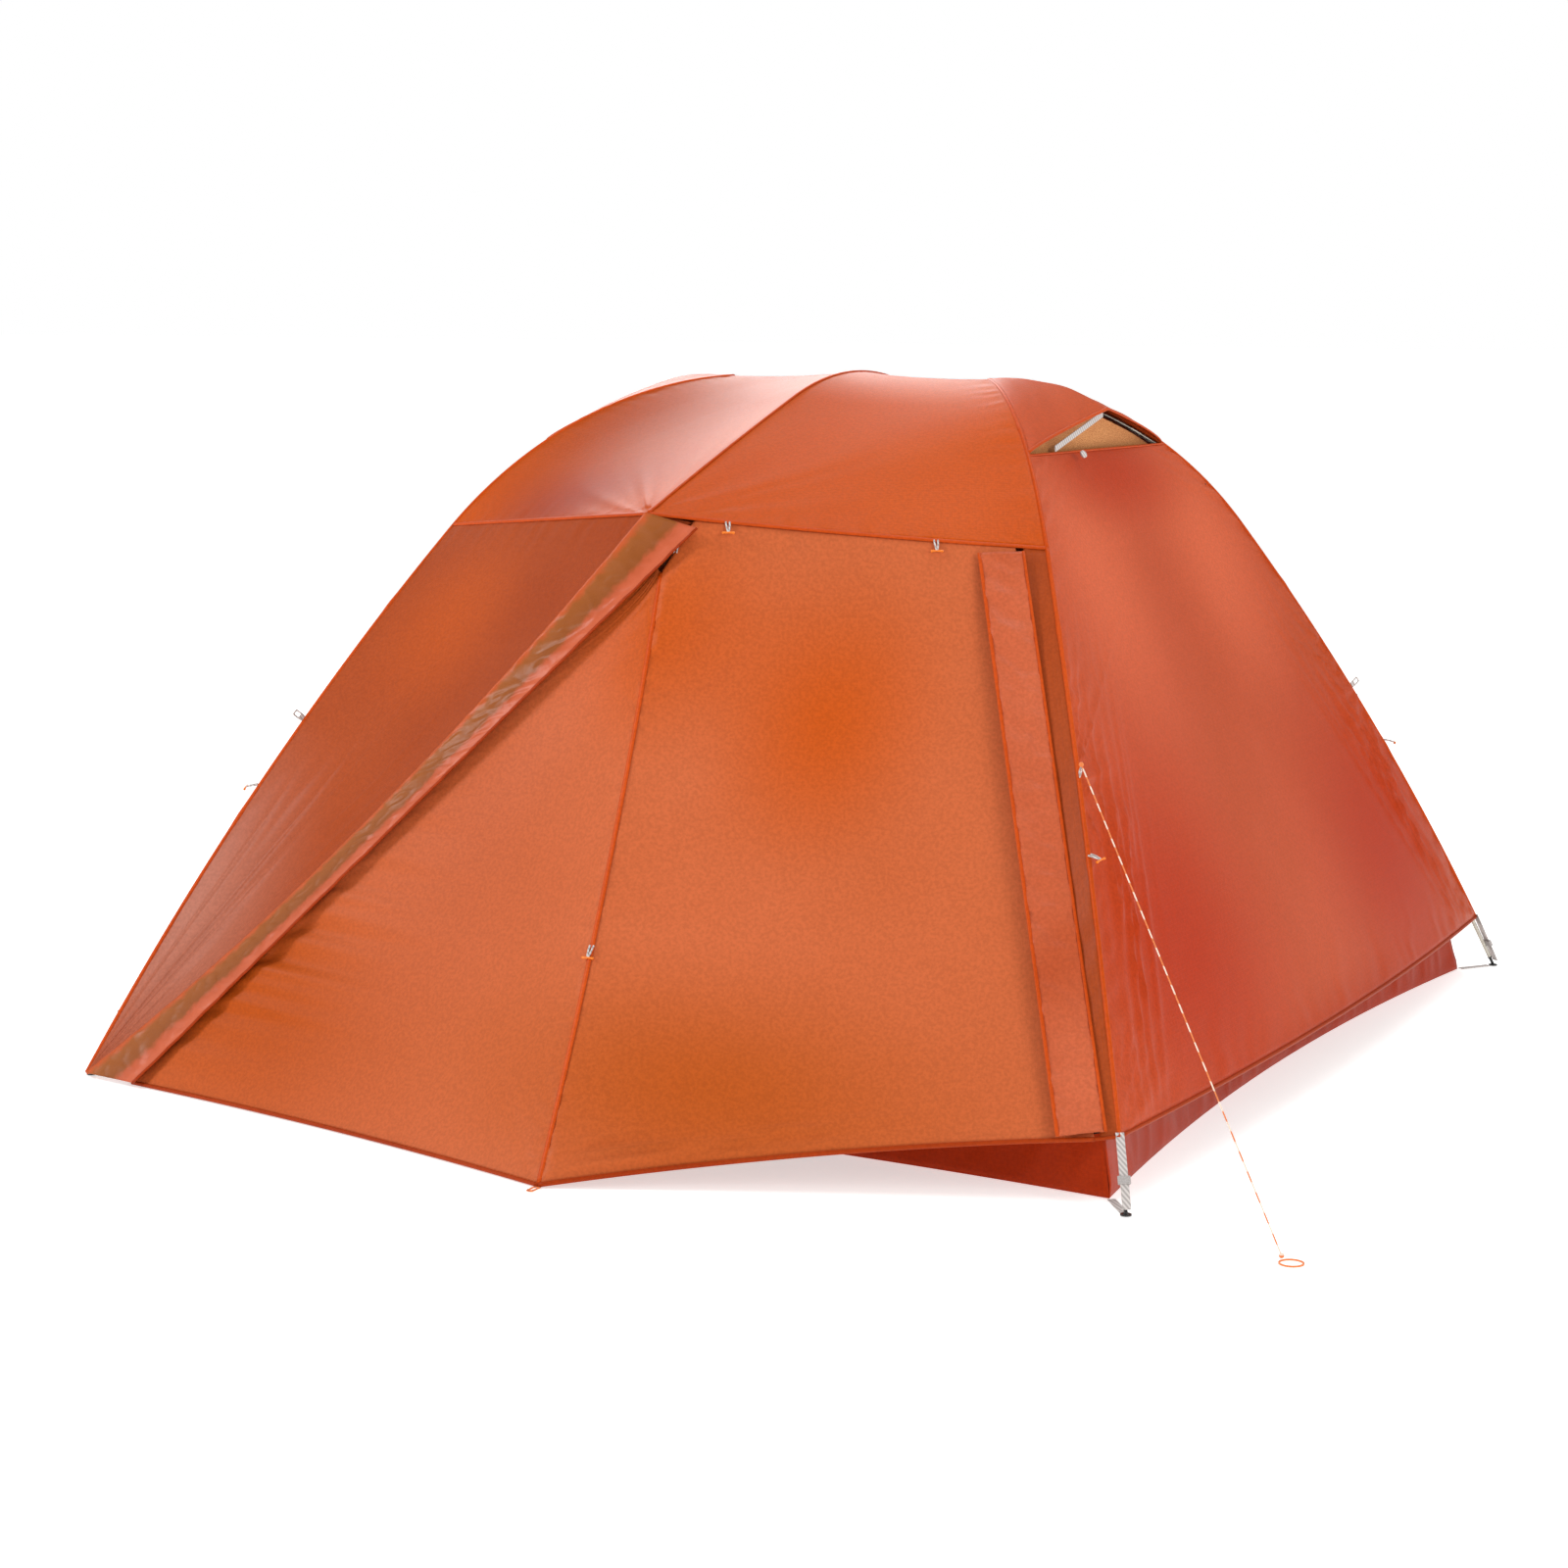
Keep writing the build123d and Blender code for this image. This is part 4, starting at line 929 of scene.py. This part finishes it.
def tube_points(path, radius, sides=8):
    """Rings of points along a list of places, with the faces that join them."""
    points = []
    for i, p in enumerate(path):
        lead = (path[min(len(path) - 1, i + 1)] - path[max(0, i - 1)]).normalized()
        out = lead.orthogonal().normalized() if i == 0 else (out - lead * out.dot(lead)).normalized()
        beside = lead.cross(out)
        r = radius(i / (len(path) - 1)) if callable(radius) else radius
        points += [p + out * r * cos(2 * pi * k / sides) + beside * r * sin(2 * pi * k / sides)
                   for k in range(sides)]
    return points, ring_faces(len(path), sides)


def tubes(name, paths, mat, slot_name, body):
    """Several round strands or bars as one piece."""
    points, faces = [], []
    for path, radius in paths:
        more, joined = tube_points(path, radius)
        faces += [tuple(i + len(points) for i in face) for face in joined]
        points += more
    piece = mesh_piece(name, points, faces)
    modify(piece, "SUBSURF", levels=1, render_levels=1)
    finish_piece(piece, mat, slot_name, body=body)
    return piece


def toggle(name, root, lead, face, body, node_name=None):
    """A webbing loop of two strands with an orange bar, thicker at its ends, through its bight."""
    out = Vector(face).normalized()
    lead = Vector(lead)
    lead = (lead - out * lead.dot(out)).normalized()
    bar = out.cross(lead)
    start = root + out * toggle_stand
    end = start + lead * toggle_drop
    strands = [([start + bar * side * web_spread * (1 - t ** 2) + lead * toggle_drop * t
                 - out * 0.004 * (1 - t) ** 2 + bar * side * web_gap for t in shares(10)], web_r)
               for side in (-1, 1)]
    tubes(f"{name}_loop", strands, grey_web, "webbing", body)
    shaft = [end + bar * toggle_length * (t - 0.5) - out * 0.0015 * (2 * t - 1) ** 2
             for t in shares(12)]
    made = tubes(f"{name}_bar", [(shaft, lambda t: 0.0020 + 0.0013 * abs(2 * t - 1) ** 3)],
                 orange_acetal, "toggle_plastic", body)
    if node_name:
        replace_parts(made, node_name)


top_face, seam_face, straight_down = (0.44, -0.70, 0.56), (0.02, -0.85, 0.52), (0, 0, -1)
for name, root, face in (("toggle_top_left", roof_seam(0.2), top_face),
                         ("toggle_top_right", roof_seam(0.72), top_face),
                         ("toggle_middle", centre_seam(0.37), seam_face)):
    toggle(f"{name}_front", root, straight_down, face, name, name)
    toggle(f"{name}_back", quarter(root, 1, 1), straight_down, (face[0], -face[1], face[2]), "tent",
           "leg_toggles" if name == "toggle_middle" else None)
side_toggle_run = 1.085
for sx, half in halves:
    for sy, side in vestibules:
        root = leg_point(sx, sy, side_toggle_run, seam_stand + 0.002)
        toggle(f"leg_toggle_{side}_{half}", root, (sx * 0.9, sy * 0.2, -0.35),
               (sx * 0.3, sy * 0.3, 0.9), "tent")

# Zip pulls: a loop of cord on the slider's post, a knot, and two tails.
tape_out, run_gap, slider_h, post_h = -0.0030, 0.00045, 0.0048, 0.0075
pull_out = tape_out + run_gap + slider_h + post_h - 0.0009
zip_start = 0.030
pull_cord_r = 0.0013
pull_top, pull_loop = -0.0030, 0.030
tail_top, tail = 0.028, 0.013
knot_top, knot = 0.0240, 0.0075          # each: its start below the slider, and its length
for sy, side in vestibules:
    hang = Vector((0, 0, -1))
    hang = (hang - diagonal.out * hang.dot(diagonal.out)).normalized()
    beside = diagonal.out.cross(hang)
    start = diagonal.at(zip_start, 0, pull_out)
    strands = []
    for k in (-1, 1):
        strands.append(([start + hang * (pull_top + pull_loop * t)
                         + beside * k * (0.0034 * sin(pi * min(1, 0.18 + 0.82 * t)) ** 0.7 + web_gap)
                         for t in shares(14)], pull_cord_r))
        strands.append(([start + hang * (tail_top + tail * t) + beside * k * (web_gap + 0.004 * t)
                         for t in shares(5)], pull_cord_r))
    strands.append(([start + hang * (knot_top + knot * t) for t in shares(8)],
                    lambda t: 0.0012 + 0.0024 * sin(pi * t)))
    strands = [([quarter(p, 1, sy) for p in path], r) for path, r in strands]
    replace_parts(tubes(f"zip_pull_cord_{side}", strands, grey_web, "pull_cord", f"zip_pull_{side}"),
                f"zip_pull_{side}")

# A pale oval hook-and-loop spot below the vent, where the strut's end can be pressed on.
spot_sides = 28
spot_y, spot_x = 0.012, 0.008
for sx, half in halves:
    centre = Vector((0.575, -0.165, 1.232))
    out = Vector((0.86, 0.0, 0.50)).normalized()
    level = Vector((0, 1, 0))
    beside = out.cross(level).normalized()
    turns = [2 * pi * k / spot_sides for k in range(spot_sides)]
    rim = [centre + level * spot_y * cos(a) + beside * spot_x * sin(a) for a in turns]
    points = [p + out * h for h in (-0.002, 0.0012) for p in rim]
    points += [centre + (p - centre) * 0.86 + out * 0.0024 for p in rim]
    faces = [tuple(range(2 * spot_sides, 3 * spot_sides)), tuple(reversed(range(spot_sides)))]
    for ring in (0, spot_sides):
        for k in range(spot_sides):
            a, b = ring + k, ring + (k + 1) % spot_sides
            faces.append((a, b, b + spot_sides, a + spot_sides))
    if sx < 0:
        points = [quarter(p, -1, -1) for p in points]
        faces = [tuple(reversed(face)) for face in faces]
    finish_piece(mesh_piece(f"vent_spot_{half}", points, faces), grey_web, "webbing")

# ---------------------------------------------------------------- guy line
guy_run = 0.985
guy_root = leg_point(1, -1, guy_run, seam_stand + 0.033)
guy_anchor = Vector((1.400, -1.340, 0.009))


def braided_cord():
    """Braided polyester with a pale tracer: its 4 mm repeat is drawn at 27 mm of height."""
    made, tree, surface, place = material("braided_guy_cord", 0.7, colour="#E88A4A",
                                          Sheen_Weight=0.2)
    bands = node(tree, "ShaderNodeTexWave", {"bands_direction": "Z"}, Vector=(place, "Object"),
                 Scale=1 / (0.014 * 6.2), Distortion=0.4)
    paint(tree, surface, (bands, "Fac"), [(0.45, "#E07A38"), (0.6, "#F2D8C4")])
    return made


def nurbs_cord(name, points, radius, mat):
    """A cord on a smooth curve near its points."""
    curve = bpy.data.curves.new(name, "CURVE")
    curve.dimensions = "3D"
    spline = curve.splines.new("NURBS")
    spline.points.add(len(points) - 1)
    for point, place in zip(spline.points, points):
        point.co = (*place, 1.0)
    spline.order_u = 3
    spline.use_endpoint_u = True
    curve.bevel_depth = radius
    curve.bevel_resolution = 3
    curve.use_fill_caps = True
    piece = bpy.data.objects.new(name, curve)
    bpy.context.collection.objects.link(piece)
    curve.materials.append(mat)
    return piece


cord_mat = braided_cord()
guy_d = 0.0026
guy = nurbs_cord("guy_cord", [guy_root.lerp(guy_anchor, t) for t in (0, 0.25, 0.5, 0.75, 1)],
                 guy_d / 2, cord_mat)
dress(cord_mat, "guy_line_knots")
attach(guy, "tent")
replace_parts(guy, "guy_line")

# ---------------------------------------------------------------- floor, light and camera
def paper_floor():
    """A plain pale studio floor."""
    return material("studio_floor", 0.9, colour="#F4F3F1", Emission_Color=(1, 1, 1, 1),
                    Emission_Strength=0.56)[0]


bpy.ops.object.select_all(action="DESELECT")
bpy.ops.mesh.primitive_plane_add(size=400, location=(0, 0, -0.001))
floor = bpy.context.object
floor.name = "studio_floor"
floor.data.materials.append(paper_floor())


def soft_box(name, place, target, size, power):
    """A square lamp of a size in metres and a power in watts, turned to a target."""
    light = bpy.data.lights.new(name, "AREA")
    light.shape = "RECTANGLE"
    light.size = light.size_y = size
    light.energy = power
    lamp = bpy.data.objects.new(name, light)
    bpy.context.collection.objects.link(lamp)
    lamp.location = place
    lamp.rotation_euler = (Vector(target) - Vector(place)).to_track_quat("-Z", "Y").to_euler()


tent_heart = (0, 0, 0.6)
soft_box("key_light", (-5.0, -5.5, 5.0), tent_heart, 2.2, 322)
soft_box("fill_light", (6.5, -3.0, 3.2), tent_heart, 2.6, 150)
soft_box("top_light", (1.0, 1.5, 6.5), tent_heart, 4.0, 140)
soft_box("back_light", (-4.0, 6.0, 4.0), tent_heart, 3.0, 170)

world = bpy.data.worlds.new("studio")
bpy.context.scene.world = world
world.use_nodes = True
sky = world.node_tree
backdrop = sky.nodes["Background"]
backdrop.inputs["Color"].default_value = (1.0, 1.0, 1.0, 1)
backdrop.inputs["Strength"].default_value = 0.50
seen = node(sky, "ShaderNodeBackground", Color=(1.0, 1.0, 1.0, 1), Strength=1.0)
ray = node(sky, "ShaderNodeLightPath")
choice = node(sky, "ShaderNodeMixShader", i0=(ray, "Is Camera Ray"), i1=(backdrop, 0), i2=(seen, 0))
sky.links.new(choice.outputs[0], sky.nodes["World Output"].inputs[0])
bpy.context.scene.view_settings.view_transform = "Standard"

camera_place = Vector((2.94, -6.23, 1.49))
camera_data = bpy.data.cameras.new("camera")
camera_data.lens = 74.4
camera_data.sensor_width = 36
camera = bpy.data.objects.new("camera", camera_data)
bpy.context.collection.objects.link(camera)
yaw, pitch, roll = radians(116.52), radians(8.13), radians(0.41)
forward = Vector((cos(yaw) * cos(pitch), sin(yaw) * cos(pitch), -sin(pitch)))
right = Vector((sin(yaw), -cos(yaw), 0))
up = right.cross(forward)
right, up = right * cos(roll) + up * sin(roll), up * cos(roll) - right * sin(roll)
camera.matrix_world = Matrix.Translation(camera_place) @ Matrix(
    (right, up, -forward)).transposed().to_4x4()
bpy.context.scene.camera = camera
